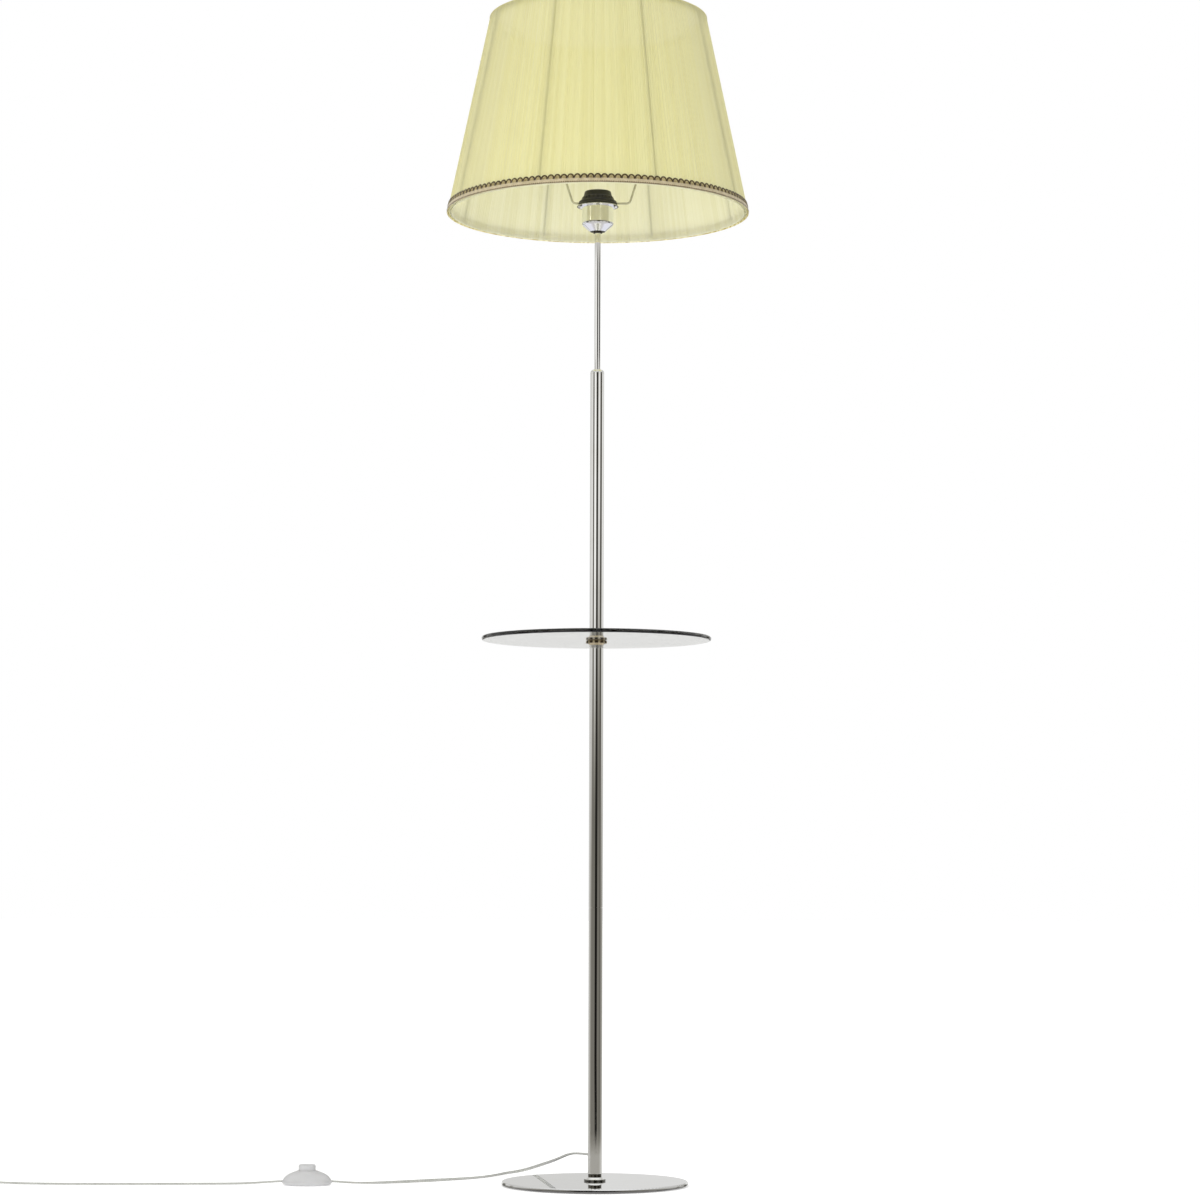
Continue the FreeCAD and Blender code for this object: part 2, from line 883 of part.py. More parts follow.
def shade_spider():
    """The fitter ring with its two arms."""
    top_ring = shade_top_ring()
    fitter = pipe(fitter_diameter / 2, fitter_bore / 2, saucer_top, fitter_top)
    frame = fitter.fuse([arm.cut(top_ring) for arm in arms(arm_wire / 2)])
    clearance = Part.makeCylinder(
        ring_nut_flange_diameter / 2 + seat_gap, arm_wire * 2, Vector(0, 0, fitter_top)
    )
    return one_solid(frame.cut(clearance))


def frustum(bottom_radius, top_radius, bottom, top):
    return Part.makeCone(bottom_radius, top_radius, top - bottom, Vector(0, 0, bottom))


def side_skin(bottom, top, outset, thickness):
    """A thin wall parallel to the shade's side. outset is how far its outer face is inside that side."""
    outer = frustum(side_radius(bottom, outset), side_radius(top, outset), bottom, top)
    inset = outset + level_gap(thickness)
    return outer.cut(frustum(side_radius(bottom, inset), side_radius(top, inset), bottom, top))


cloth_bottom = shade_bottom + seat_gap
cloth_top = shade_top - binding_thickness - seat_gap


def pleats(height, inset):
    """One level line of pleats. They are finer where the cloth is drawn in to the top, so that each side of
    a pleat is flat."""
    widest = side_radius(shade_bottom, braid_outset)
    share = side_radius(height, braid_outset) / widest
    crest = (widest - inset) * share
    valley = (widest - inset - level_gap(pleat_depth)) * share
    points = []
    for i in range(2 * pleat_count):
        angle = math.pi * i / pleat_count
        radius = valley if i % 2 else crest
        points.append(Vector(radius * math.cos(angle), radius * math.sin(angle), height))
    return Part.makePolygon(points + [points[0]])


def shade_cover():
    """The pleated cloth, stretched outside the wires."""
    outer = Part.makeLoft([pleats(cloth_bottom, 0), pleats(cloth_top, 0)], True, True)
    inset = level_gap(cloth_thickness)
    inner = Part.makeLoft([pleats(cloth_bottom, inset), pleats(cloth_top, inset)], True, True)
    return outer.cut(inner)


lining_inset = wire_inset + level_gap(ring_wire / 2 + seat_gap)


def shade_lining():
    """The smooth cloth inside the wires, with a hole for each arm."""
    cloth = side_skin(cloth_bottom, cloth_top, lining_inset, cloth_thickness)
    return cloth.cut(Part.Compound(arms(arm_wire / 2 + seat_gap)))


def shade_braid():
    """The band of braid round the lower edge."""
    return side_skin(shade_bottom, shade_bottom + braid_height, 0.0, braid_thickness)


def shade_binding():
    """The strip that is folded over the cover and the lining at the top edge."""
    low = shade_top - binding_height
    outer = braid_outset - level_gap(binding_thickness) - slip_gap
    inner = lining_inset + level_gap(cloth_thickness) + slip_gap + level_gap(binding_thickness)
    solid = frustum(side_radius(low, outer), side_radius(shade_top, outer), low, shade_top)
    solid = solid.cut(frustum(side_radius(low, inner), side_radius(shade_top, inner), low, shade_top))
    under = shade_top - binding_thickness
    slot_out = braid_outset - slip_gap
    slot_in = lining_inset + level_gap(cloth_thickness) + slip_gap
    slot = frustum(side_radius(low, slot_out), side_radius(under, slot_out), low, under)
    slot = slot.cut(frustum(side_radius(low, slot_in), side_radius(under, slot_in), low, under))
    return solid.cut(slot).cut(Part.Compound(arms(arm_wire / 2 + seat_gap)))


# ---- Cord -----------------------------------------------------------------------------------------------

coil_lift = floor_gap + tie_thickness + tie_gap + cord_radius  # the height of the lowest turn's middle
coil_outer_radius = coil_inner_radius + coil_turn_pitch * coil_turns_per_layer
coil_turns = coil_turns_per_layer * coil_layers
coil_top_height = coil_lift + (coil_layers - 1) * coil_layer_pitch
coil_side = coil_centre[1] - coil_outer_radius

exit_point = exit_level + exit_way * (post_radius + bush_stands_out)

# From the post, over the rear of the base, down to the floor and forward to the switch
lead_route = [
    (exit_point.x, exit_point.y, exit_height),
    (-17.0, exit_point.y * 17.0 / -exit_point.x, exit_height),
    (-33.0, 54.0, 36.5),
    (-52.0, 88.0, 25.0),
    (-72.0, 131.0, 15.0),
    (-88.0, 160.0, 7.5),
    (-103.0, 170.0, 2.8),
    (-118.0, 155.0, 1.7),
    (-131.0, 124.0, 1.6),
    (-153.0, 88.0, 1.7),
    (-190.0, 58.0, 1.6),
    (-228.0, 33.0, 1.7),
    (-268.0, 13.0, 1.6),
    (-302.0, 3.0, 2.0),
    (-322.0, -5.0, 3.6),
    (-335.0, switch_centre[1], parting_height),
    (switch_centre[0] + terminal_face, switch_centre[1], parting_height),
]

# From the switch along the floor, out of sight
supply_route = [
    (switch_centre[0] - terminal_face, switch_centre[1], parting_height),
    (-405.0, switch_centre[1], parting_height),
    (-424.0, -5.5, 3.4),
    (-450.0, -3.0, 1.6),
    (-485.0, -9.5, 1.7),
    (-537.0, -12.0, 1.6),
    (-592.0, -15.5, 1.7),
    (-645.0, -17.5, 1.6),
    (-695.0, -14.0, 1.7),
    (-740.0, -9.0, 1.9),
    (-780.0, coil_side, coil_lift),
    (coil_centre[0] + cord_diameter, coil_side, coil_lift),
]

# From the coil down to the plug
plug_axis_height = plug_thickness / 2
tail_route = [
    (coil_centre[0] - cord_diameter, coil_side, coil_top_height),
    (-832.0, coil_side, coil_top_height),
    (-849.0, coil_side - 0.8, 10.4),
    (-864.0, coil_side - 1.0, plug_axis_height),
    (-876.0, coil_side - 1.0, plug_axis_height),
]
plug_neck = tail_route[-1]


def coil_place(turn):
    """The middle of the cord in the coil after a number of turns."""
    turn_in = min(max(turn, 0.0), coil_turns)
    layer = min(int(turn_in / coil_turns_per_layer), coil_layers - 1)
    share = turn_in / coil_turns_per_layer - layer
    radius_share = 1 - share if layer % 2 == 0 else share
    radius = coil_inner_radius + (coil_outer_radius - coil_inner_radius) * radius_share
    height = coil_lift
    for step in range(1, coil_layers):
        climbed = (turn_in - step * coil_turns_per_layer) / coil_climb + 0.5
        height += coil_layer_pitch * min(max(climbed, 0.0), 1.0)
    angle = -math.pi / 2 - 2 * math.pi * turn
    x = coil_centre[0] + radius * math.cos(angle)
    return Vector(x, coil_centre[1] + radius * math.sin(angle), height)


def cord_coil():
    ahead = Vector(-1, 0, 0)
    wire = wound_wire(coil_place, coil_turns, cord_diameter, ahead, ahead)
    tube = swept(wire, cord_radius)
    expected = math.pi * cord_radius**2 * wire.Length
    print("cord_coil length %.1f, volume share %.4f" % (wire.Length, tube.Volume / expected))
    print("cord_coil least gap to itself %.2f" % least_gap(coil_place, coil_turns, cord_diameter))
    return tube


def coil_tie():
    """A strap round the turns on the far side of the coil."""
    clear = cord_radius + tie_gap
    inner_edge = coil_centre[0] - coil_inner_radius + clear
    outer_edge = coil_centre[0] - coil_outer_radius - clear
    low = coil_lift - clear
    high = coil_top_height + clear
    place = Vector(outer_edge, coil_centre[1] - tie_width / 2, low)
    hollow = Part.makeBox(inner_edge - outer_edge, tie_width, high - low, place)
    wall = tie_thickness
    length = inner_edge - outer_edge + 2 * wall
    outside = Part.makeBox(length, tie_width, high - low + 2 * wall, place - Vector(wall, 0, wall))
    outside = rounded(outside, tie_rounding, lambda e: abs(e.BoundBox.YLength - tie_width) < 0.01)
    return outside.cut(hollow)


def plug_body():
    """A flat two-pin plug. It narrows towards the cord."""

    def section(x, width, thickness):
        y = plug_neck[1]
        half = width / 2
        bottom = plug_axis_height - thickness / 2
        nose = thickness * plug_edge_slope
        outline = [(-half + nose, 0), (half - nose, 0), (half, thickness / 2), (half - nose, thickness)]
        outline += [(-half + nose, thickness), (-half, thickness / 2)]
        points = [Vector(x, y + a, bottom + b) for a, b in outline]
        return Part.makePolygon(points + [points[0]])

    face = plug_neck[0] - plug_length
    waist = plug_neck[0] - plug_waist_length
    face_section = section(face, plug_face_width, plug_thickness)
    waist_section = section(waist, plug_waist_width, plug_thickness)
    neck_section = section(plug_neck[0], plug_neck_width, plug_neck_thickness)
    front = Part.makeLoft([face_section, waist_section], True, True)
    back = Part.makeLoft([waist_section, neck_section], True, True)
    return one_solid(front.fuse(back))


def plug_pins():
    face = plug_neck[0] - plug_length
    pins = []
    for side in (-1, 1):
        place = Vector(face, plug_neck[1] + side * pin_spacing / 2, plug_axis_height)
        pin = Part.makeCylinder(pin_diameter / 2, pin_length, place, Vector(-1, 0, 0))
        tip = face - pin_length
        pins.append(rounded(pin, pin_rounding, lambda e: e.Closed and abs(e.BoundBox.XMin - tip) < 0.01))
    return Part.Compound(pins)


# ---- Foot switch ----------------------------------------------------------------------------------------


def oval(half_length, half_width, height):
    ellipse = Part.Ellipse(Vector(0, 0, height), half_length, half_width)
    return Part.Wire(ellipse.toShape())


def in_switch(shape):
    return moved(shape, *switch_centre)


def cord_holes():
    """The hole that the cord takes through both ends of the switch."""
    reach = 2 * cover_sections[0][0]
    start = Vector(-reach, 0, parting_height)
    return Part.makeCylinder(cord_radius + cord_gap, 2 * reach, start, Vector(1, 0, 0))


def screw_places():
    x, y = case_screw_place
    return ((x, y), (-x, -y))


def switch_base():
    """The tray under the switch, rounded towards the floor."""
    sections = base_sections + cover_sections[:1]
    outer = Part.makeLoft([oval(*section) for section in sections], True)
    inside = []
    for length, width, height in sections[2:]:
        inside.append(oval(length - switch_wall, width - switch_wall, height))
    hollow = Part.makeLoft(inside, True, True)
    base = outer.cut(hollow).cut(cord_holes())
    for x, y in screw_places():
        recess_radius = case_screw_head_diameter / 2 + hole_gap
        recess = Part.makeCylinder(recess_radius, case_screw_head_height + hole_gap, Vector(x, y, 0))
        hole = Part.makeCylinder(case_screw_diameter / 2 + hole_gap, switch_floor, Vector(x, y, 0))
        base = base.cut(recess).cut(hole)
    return in_switch(base)


def switch_cover():
    """The dome over the switch, open in the middle for the button."""
    outer = Part.makeLoft([oval(*section) for section in cover_sections], True)
    wall = switch_wall
    inside = []
    for length, width, height in cover_sections[:-1]:
        inside.append(oval(length - wall, width - wall, height))
    length, width, height = cover_sections[-1]
    inside.append(oval(length - wall / 2, width - wall / 2, height - wall))
    cover = outer.cut(Part.makeLoft(inside, True))
    for x, y in screw_places():
        boss_height = case_boss_top - parting_height
        foot = Vector(x, y, parting_height)
        boss = Part.makeCylinder(case_boss_diameter / 2, boss_height, foot)
        hole = Part.makeCylinder(case_screw_diameter / 2 + thread_gap, boss_height, foot)
        cover = cover.fuse(boss).cut(hole)
    top = cover_sections[-1][2]
    mouth = Part.makeCylinder(button_diameter / 2 + running_gap, 4 * wall, Vector(0, 0, top - 2 * wall))
    return in_switch(one_solid(cover.cut(mouth).cut(cord_holes())))


button_flange_top = cover_sections[-1][2] - switch_wall - seat_gap


def foot_button():
    """The round push button: a cap with a retaining flange and a plunger."""
    outer = button_diameter / 2
    inner = outer - button_wall
    low = button_flange_top - button_flange_height
    crown = button_height - button_wall
    button = turned(
        [
            (0, plunger_end),
            (plunger_diameter / 2, plunger_end),
            (plunger_diameter / 2, crown),
            (inner, crown),
            (inner, low),
            (button_flange_diameter / 2, low),
            (button_flange_diameter / 2, button_flange_top),
            (outer, button_flange_top),
            *eased((outer, button_flange_top), (outer, button_height), (0, button_height), button_rounding),
            (0, button_height),
        ]
    )
    return in_switch(button)


def switch_mechanism():
    """The insulated housing that the plunger works in."""
    length, width, top = mechanism_size
    height = top - switch_floor
    body = Part.makeBox(length, width, height, Vector(-length / 2, -width / 2, switch_floor))
    body = rounded(body, mechanism_rounding, lambda e: abs(e.BoundBox.ZLength - height) < 0.01)
    depth = button_travel + top - plunger_end + 2 * hole_gap
    well = Part.makeCylinder(plunger_diameter / 2 + hole_gap, depth, Vector(0, 0, top - depth))
    return in_switch(body.cut(well))


def button_spring():
    """The return spring round the plunger, from the housing to the underside of the button."""
    low = mechanism_size[2] + spring_wire / 2 + slip_gap
    high = button_height - button_wall - spring_wire / 2 - slip_gap

    def place(turn):
        angle = 2 * math.pi * turn
        height = low + (high - low) * turn / spring_turns
        return Vector(spring_radius * math.cos(angle), spring_radius * math.sin(angle), height)

    return in_switch(swept(wound_wire(place, spring_turns), spring_wire / 2))


def switch_terminals():
    length, width, top = terminal_size
    blocks = []
    for side in (-1, 1):
        near = terminal_face - length if side > 0 else -terminal_face
        block = Part.makeBox(length, width, top - switch_floor, Vector(near, -width / 2, switch_floor))
        middle = near + length / 2
        screw = Part.makeCylinder(clamp_screw_diameter / 2, clamp_screw_height, Vector(middle, 0, top))
        slot_bottom = top + clamp_screw_height - clamp_slot
        slot_place = Vector(middle - clamp_screw_diameter, -clamp_slot / 2, slot_bottom)
        slot = Part.makeBox(2 * clamp_screw_diameter, clamp_slot, clamp_slot, slot_place)
        blocks.append(one_solid(block.fuse(screw).cut(slot)))
    return in_switch(Part.Compound(blocks))


def switch_contacts():
    """The strips between the terminals and the housing."""
    width, thickness, height = contact_strip
    near = mechanism_size[0] / 2
    length = terminal_face - terminal_size[0] - near
    strips = []
    for side in (-1, 1):
        start = near if side > 0 else -near - length
        strips.append(Part.makeBox(length, width, thickness, Vector(start, -width / 2, height)))
    return in_switch(Part.Compound(strips))


def case_screws():
    screws = []
    for x, y in screw_places():
        low = hole_gap
        head = Part.makeCylinder(case_screw_head_diameter / 2, case_screw_head_height, Vector(x, y, low))
        shank = Part.makeCylinder(case_screw_diameter / 2, case_screw_end - low, Vector(x, y, low))
        long = case_cross_length
        wide = case_cross_width
        cross = Part.makeBox(long, wide, wide, Vector(x - long / 2, y - wide / 2, low))
        cross = cross.fuse(Part.makeBox(wide, long, wide, Vector(x - wide / 2, y - long / 2, low)))
        screws.append(one_solid(head.fuse(shank).cut(cross)))
    return in_switch(Part.Compound(screws))


# ---- Everything -----------------------------------------------------------------------------------------

pieces = {
    "floor_pad": floor_pad,
    "base_plate": base_plate,
    "foot_washer": foot_washer,
    "foot_nut": foot_nut,
    "foot_stud": foot_stud,
    "foot_flange": lambda: post_flange(plate_top),
    "foot_ring": foot_ring,
    "foot_insert": lambda: threaded_insert(lower_tube_bottom),
    "lower_tube": lower_tube,
    "cord_bush": cord_bush,
    "seam_insert": lambda: threaded_insert(post_seam - insert_length),
    "seam_spigot": seam_spigot,
    "middle_tube": lambda: post_tube(post_seam),
    "table_insert": lambda: threaded_insert(middle_tube_top - insert_length),
    "table_collar": table_collar,
    "lower_gasket": lambda: gasket(collar_top),
    "glass_top": glass_top,
    "upper_gasket": lambda: gasket(glass_top_height),
    "table_stud": table_stud,
    "upper_flange": lambda: post_flange(upper_flange_bottom),
    "upper_insert": lambda: threaded_insert(upper_tube_bottom),
    "upper_tube": lambda: post_tube(upper_tube_bottom),
    "top_cap": top_cap,
    "stem_nut": stem_nut,
    "stem_rod": stem_rod,
    "stem_locknut": stem_locknut,
    "holder_cup": holder_cup,
    "cup_nut": cup_nut,
    "contact_block": contact_block,
    "terminal_screws": terminal_screws,
    "screw_shell": screw_shell,
    "centre_contact": centre_contact,
    "saucer": saucer,
    "holder_sleeve": holder_sleeve,
    "ring_nut": ring_nut,
    "inner_lead": inner_lead,
    "shade_bottom_ring": shade_bottom_ring,
    "shade_top_ring": shade_top_ring,
    "shade_ribs": shade_ribs,
    "shade_spider": shade_spider,
    "shade_lining": shade_lining,
    "shade_cover": shade_cover,
    "shade_braid": shade_braid,
    "shade_binding": shade_binding,
    "cord_lead": lambda: cord(lead_route, "cord_lead"),
    "switch_base": switch_base,
    "switch_cover": switch_cover,
    "foot_button": foot_button,
    "button_spring": button_spring,
    "switch_mechanism": switch_mechanism,
    "switch_terminals": switch_terminals,
    "switch_contacts": switch_contacts,
    "case_screws": case_screws,
    "cord_supply": lambda: cord(supply_route, "cord_supply"),
    "cord_coil": cord_coil,
    "coil_tie": coil_tie,
    "cord_tail": lambda: cord(tail_route, "cord_tail"),
    "plug_body": plug_body,
    "plug_pins": plug_pins,
}

os.makedirs("parts", exist_ok=True)
for name, make in pieces.items():
    shape = make()
    if not shape.isValid() or not shape.Solids:
        print(name, "is not a valid solid")
    shape.exportStep("parts/%s.step" % name)
print("heights: seam %.1f, glass %.1f, post top %.1f" % (post_seam, glass_bottom, post_top))
print("cup %.1f, holder top %.1f, shade %.1f to %.1f" % (cup_bottom, sleeve_top, shade_bottom, shade_top))
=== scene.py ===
import math
import random

import bpy
from mathutils import Matrix, Vector


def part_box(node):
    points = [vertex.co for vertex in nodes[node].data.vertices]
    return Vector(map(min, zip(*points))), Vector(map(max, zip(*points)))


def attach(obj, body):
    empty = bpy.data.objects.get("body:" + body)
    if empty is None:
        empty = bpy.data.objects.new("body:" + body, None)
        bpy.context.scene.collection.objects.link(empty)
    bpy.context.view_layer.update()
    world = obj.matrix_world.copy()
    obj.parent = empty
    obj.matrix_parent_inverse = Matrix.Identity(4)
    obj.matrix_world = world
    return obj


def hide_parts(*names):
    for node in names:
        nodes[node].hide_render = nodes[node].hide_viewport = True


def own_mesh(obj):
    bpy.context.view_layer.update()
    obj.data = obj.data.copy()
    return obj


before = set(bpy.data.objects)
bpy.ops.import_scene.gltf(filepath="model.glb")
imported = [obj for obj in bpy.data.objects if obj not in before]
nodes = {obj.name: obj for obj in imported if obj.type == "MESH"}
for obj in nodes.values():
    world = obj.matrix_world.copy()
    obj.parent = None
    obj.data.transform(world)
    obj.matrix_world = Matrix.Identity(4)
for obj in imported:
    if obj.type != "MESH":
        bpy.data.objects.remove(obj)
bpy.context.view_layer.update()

# Looks for the floor lamp with a round glass table, +Z up, the post on the Z axis. Blender's unit is the
# metre. The pieces made here are laid out in millimetres, and turned into metres where their mesh is made.

scene = bpy.context.scene
MM = 0.001


# ---- Helpers --------------------------------------------------------------------------------------------


def place(data, name):
    """An object of this data in the scene."""
    obj = bpy.data.objects.new(name, data)
    scene.collection.objects.link(obj)
    return obj


def mesh_piece(name, points, faces, materials, face_material=None, uvs=None):
    """A smooth mesh object from points in millimetres. face_material has an index for each face, and uvs a
    place on the flat cloth, in metres, for each point."""
    mesh = bpy.data.meshes.new(name)
    mesh.from_pydata([tuple(c * MM for c in p) for p in points], [], faces)
    for m in materials:
        mesh.materials.append(m)
    if face_material:
        mesh.polygons.foreach_set("material_index", face_material)
    if uvs:
        layer = mesh.uv_layers.new(name="along")
        for loop in mesh.loops:
            layer.data[loop.index].uv = uvs[loop.vertex_index]
    mesh.polygons.foreach_set("use_smooth", [True] * len(mesh.polygons))
    mesh.update()
    return place(mesh, name)


class Shader:
    """A material's nodes. An input is a value or another node's output."""

    def __init__(self, name, world=False):
        if world:
            self.owner = bpy.data.worlds.new(name)
        else:
            self.owner = bpy.data.materials.new(name)
        self.owner.use_nodes = True
        self.tree = self.owner.node_tree
        self.tree.nodes.clear()
        kind = "ShaderNodeOutputWorld" if world else "ShaderNodeOutputMaterial"
        self.out = self.tree.nodes.new(kind)

    def node(self, kind, inputs=None, **settings):
        made = self.tree.nodes.new("ShaderNode" + kind)
        for key, value in settings.items():
            setattr(made, key, value)
        for key, value in (inputs or {}).items():
            self.feed(made.inputs[key], value)
        return made

    def feed(self, socket, value):
        if isinstance(value, bpy.types.Node):
            value = next(s for s in value.outputs if s.enabled)
        if isinstance(value, bpy.types.NodeSocket):
            self.tree.links.new(value, socket)
        else:
            socket.default_value = value

    def math(self, operation, a, b=0.0, c=0.0):
        return self.node("Math", {0: a, 1: b, 2: c}, operation=operation).outputs[0]

    def ease(self, value, low, high, to_low=0.0, to_high=1.0):
        inputs = {"Value": value, "From Min": low, "From Max": high, "To Min": to_low, "To Max": to_high}
        return self.node("MapRange", inputs, interpolation_type="SMOOTHSTEP").outputs[0]

    def mix(self, share, a, b):
        inputs = {0: share, 6: a, 7: b}
        return self.node("Mix", inputs, data_type="RGBA").outputs[2]

    def noise(self, where, scale, detail=2.0, rough=0.5, distort=0.0):
        inputs = {"Vector": where, "Scale": scale, "Detail": detail, "Roughness": rough,
                  "Distortion": distort}
        return self.node("TexNoise", inputs).outputs[0]

    def stretched(self, where, sx, sy, sz):
        inputs = {"Vector": where, "Scale": (sx, sy, sz)}
        return self.node("Mapping", inputs).outputs[0]

    def bump(self, height, strength, distance):
        inputs = {"Height": height, "Strength": strength, "Distance": distance}
        return self.node("Bump", inputs).outputs[0]

    def object_place(self):
        """Where a point is on the object, in metres."""
        return self.node("TexCoord").outputs["Object"]

    def along(self):
        """Where a point is on the flat cloth, in metres."""
        return self.node("TexCoord").outputs["UV"]

    def height(self, where):
        return self.node("SeparateXYZ", {0: where}).outputs[2]

    def off_axis(self, where):
        """How far a place is from the post's axis."""
        x, y, _ = self.node("SeparateXYZ", {0: where}).outputs
        return self.math("SQRT", self.math("ADD", self.math("MULTIPLY", x, x), self.math("MULTIPLY", y, y)))

    def finish(self, surface, volume=None):
        self.feed(self.out.inputs["Surface"], surface)
        if volume:
            self.feed(self.out.inputs["Volume"], volume)
        return self.owner

    def principled(self, inputs):
        """Finishes a material whose whole surface is one Principled shader."""
        return self.finish(self.node("BsdfPrincipled", inputs))


def rgb(r, g, b):
    """A linear colour from one given in eight-bit display values."""

    def linear(v):
        v /= 255
        return v / 12.92 if v <= 0.04045 else ((v + 0.055) / 1.055) ** 2.4

    return (linear(r), linear(g), linear(b), 1.0)


# ---- Materials of the hard parts ------------------------------------------------------------------------

# Stretches of a grain, per metre: lines that run round the axis, and lines that run up it
grain_round = (60, 60, 900)
grain_up = (260, 260, 6)
polish_bump = 0.00002


def chrome(name, tint, haze, lines):
    """Polished chrome plate: faint polishing lines, a little haze and a few rub marks."""
    s = Shader(name)
    where = s.object_place()
    grain = s.noise(s.stretched(where, *lines), 4.0, 3.0, 0.6)
    haze_map = s.noise(where, 38.0, 4.0, 0.62, 0.4)
    marks = s.noise(s.stretched(where, 900, 900, 130), 1.0, 2.0, 0.5)
    rub = s.ease(marks, 0.66, 0.74, 0.0, 0.025)
    rough = s.math("ADD", s.ease(haze_map, 0.35, 0.75, haze * 0.4, haze * 1.5), rub)
    colour = s.mix(s.ease(haze_map, 0.4, 0.8), tint, (tint[0] * 0.955, tint[1] * 0.95, tint[2] * 0.935, 1))
    body = {"Base Color": colour, "Metallic": 1.0, "Roughness": rough,
            "Normal": s.bump(grain, 0.03, polish_bump)}
    return s.principled(body)


def cup_chrome(name):
    """Polished chrome that mirrors the shade's warm inside dimly, with a painted highlight that whitens it
    where it is seen edge on.
    """
    s = Shader(name)
    where = s.object_place()
    haze = s.noise(where, 60.0, 4.0, 0.62, 0.4)
    grain = s.noise(s.stretched(where, *grain_round), 4.0, 3.0, 0.6)
    edge = s.node("LayerWeight", {"Blend": 0.5}).outputs["Facing"]
    colour = s.mix(s.ease(haze, 0.4, 0.8), (0.70, 0.695, 0.66, 1), (0.66, 0.65, 0.62, 1))
    # Painted highlight: the colour turns pale blue-white where the surface is seen edge on
    colour = s.mix(s.ease(edge, 0.24, 0.32), colour, (0.93, 0.95, 0.99, 1))
    body = {"Base Color": colour, "Metallic": 1.0, "Roughness": s.ease(haze, 0.35, 0.75, 0.02, 0.06),
            "Normal": s.bump(grain, 0.03, polish_bump)}
    return s.principled(body)


def disc_chrome(name):
    """Polished chrome, with faint rings from polishing and painted shade that darkens the rim low down, near
    the floor.
    """
    s = Shader(name)
    where = s.object_place()
    grain = s.noise(s.stretched(where, *grain_round), 4.0, 3.0, 0.6)
    haze = s.noise(where, 38.0, 4.0, 0.62, 0.4)
    marks = s.noise(s.stretched(where, 900, 900, 130), 1.0, 2.0, 0.5)
    rough = s.math("ADD", s.ease(haze, 0.35, 0.75, 0.012, 0.045), s.ease(marks, 0.66, 0.74, 0.0, 0.025))
    colour = s.mix(s.ease(haze, 0.4, 0.8), (0.88, 0.885, 0.895, 1), (0.84, 0.84, 0.838, 1))
    # Painted shade: below these heights the rim is darkened, with a little waver
    painted_shade_full, painted_shade_gone, painted_shade_waver = 0.0022, 0.0042, 0.0006
    height = s.math("ADD", s.height(where), s.math("MULTIPLY", haze, painted_shade_waver))
    colour = s.mix(s.ease(height, painted_shade_full, painted_shade_gone), (0.22, 0.217, 0.205, 1), colour)
    body = {"Base Color": colour, "Metallic": 1.0, "Roughness": rough,
            "Normal": s.bump(grain, 0.03, polish_bump)}
    return s.principled(body)


def flange_chrome(name):
    """Chrome with painted shade that darkens it round the rim."""
    s = Shader(name)
    where = s.object_place()
    rim_mottle = s.noise(where, 420.0, 3.0, 0.6)
    # Painted shade: beyond these distances from the axis the rim is darkened, with a little waver
    painted_shade_starts, painted_shade_full, painted_shade_waver = 0.0128, 0.0136, 0.0006
    painted_shade_reach = s.math("ADD", s.off_axis(where), s.math("MULTIPLY", rim_mottle, painted_shade_waver))
    colour = s.mix(s.ease(painted_shade_reach, painted_shade_starts, painted_shade_full), (0.90, 0.90, 0.88, 1), (0.16, 0.155, 0.14, 1))
    body = {"Base Color": colour, "Metallic": 1.0, "Roughness": s.ease(rim_mottle, 0.3, 0.7, 0.05, 0.16),
            "Normal": s.bump(rim_mottle, 0.1, 0.00003)}
    return s.principled(body)


def arm_enamel(name):
    """Khaki enamel on the arms; the ring that they join, between the nut and the saucer, is painted dark as
    painted shade.
    """
    s = Shader(name)
    where = s.object_place()
    fine = s.noise(where, 1600.0, 3.0, 0.55)
    broad = s.noise(where, 90.0, 3.0, 0.6)
    enamel = s.mix(s.ease(broad, 0.3, 0.75), rgb(184, 181, 154), rgb(158, 155, 128))
    # Painted shade: the ring close round the axis is darkened where it sits between the nut and the saucer
    ring_ends, arm_starts = 0.0248, 0.0262
    colour = s.mix(s.ease(s.off_axis(where), ring_ends, arm_starts), rgb(46, 45, 38), enamel)
    body = {"Base Color": colour, "Roughness": s.ease(fine, 0.3, 0.7, 0.32, 0.46),
            "Normal": s.bump(fine, 0.1, 0.00004)}
    return s.principled(body)


def metal(name, light, dark, rough, scale=900.0):
    """A plated or brushed metal with fine grain and darker, duller patches."""
    s = Shader(name)
    where = s.object_place()
    fine = s.noise(where, scale, 4.0, 0.6)
    broad = s.noise(where, scale * 0.08, 3.0, 0.6, 0.5)
    colour = s.mix(s.ease(broad, 0.35, 0.75), light, dark)
    roughness = s.ease(fine, 0.3, 0.7, rough - 0.1, rough + 0.1)
    body = {"Base Color": colour, "Metallic": 1.0, "Roughness": roughness,
            "Normal": s.bump(fine, 0.12, 0.00003)}
    return s.principled(body)


def moulded(name, light, dark, rough=0.3, coat=0.0, scale=1600.0, grain=0.1):
    """Moulded plastic or glazed ceramic, with a fine skin and a slight cloudiness."""
    s = Shader(name)
    where = s.object_place()
    fine = s.noise(where, scale, 3.0, 0.55)
    broad = s.noise(where, scale * 0.03, 3.0, 0.6)
    colour = s.mix(s.ease(broad, 0.3, 0.75), light, dark)
    roughness = s.ease(fine, 0.3, 0.7, rough * 0.8, rough * 1.25)
    body = {"Base Color": colour, "Roughness": roughness, "Coat Weight": coat, "Coat Roughness": 0.12,
            "Normal": s.bump(fine, grain, 0.00004)}
    return s.principled(body)


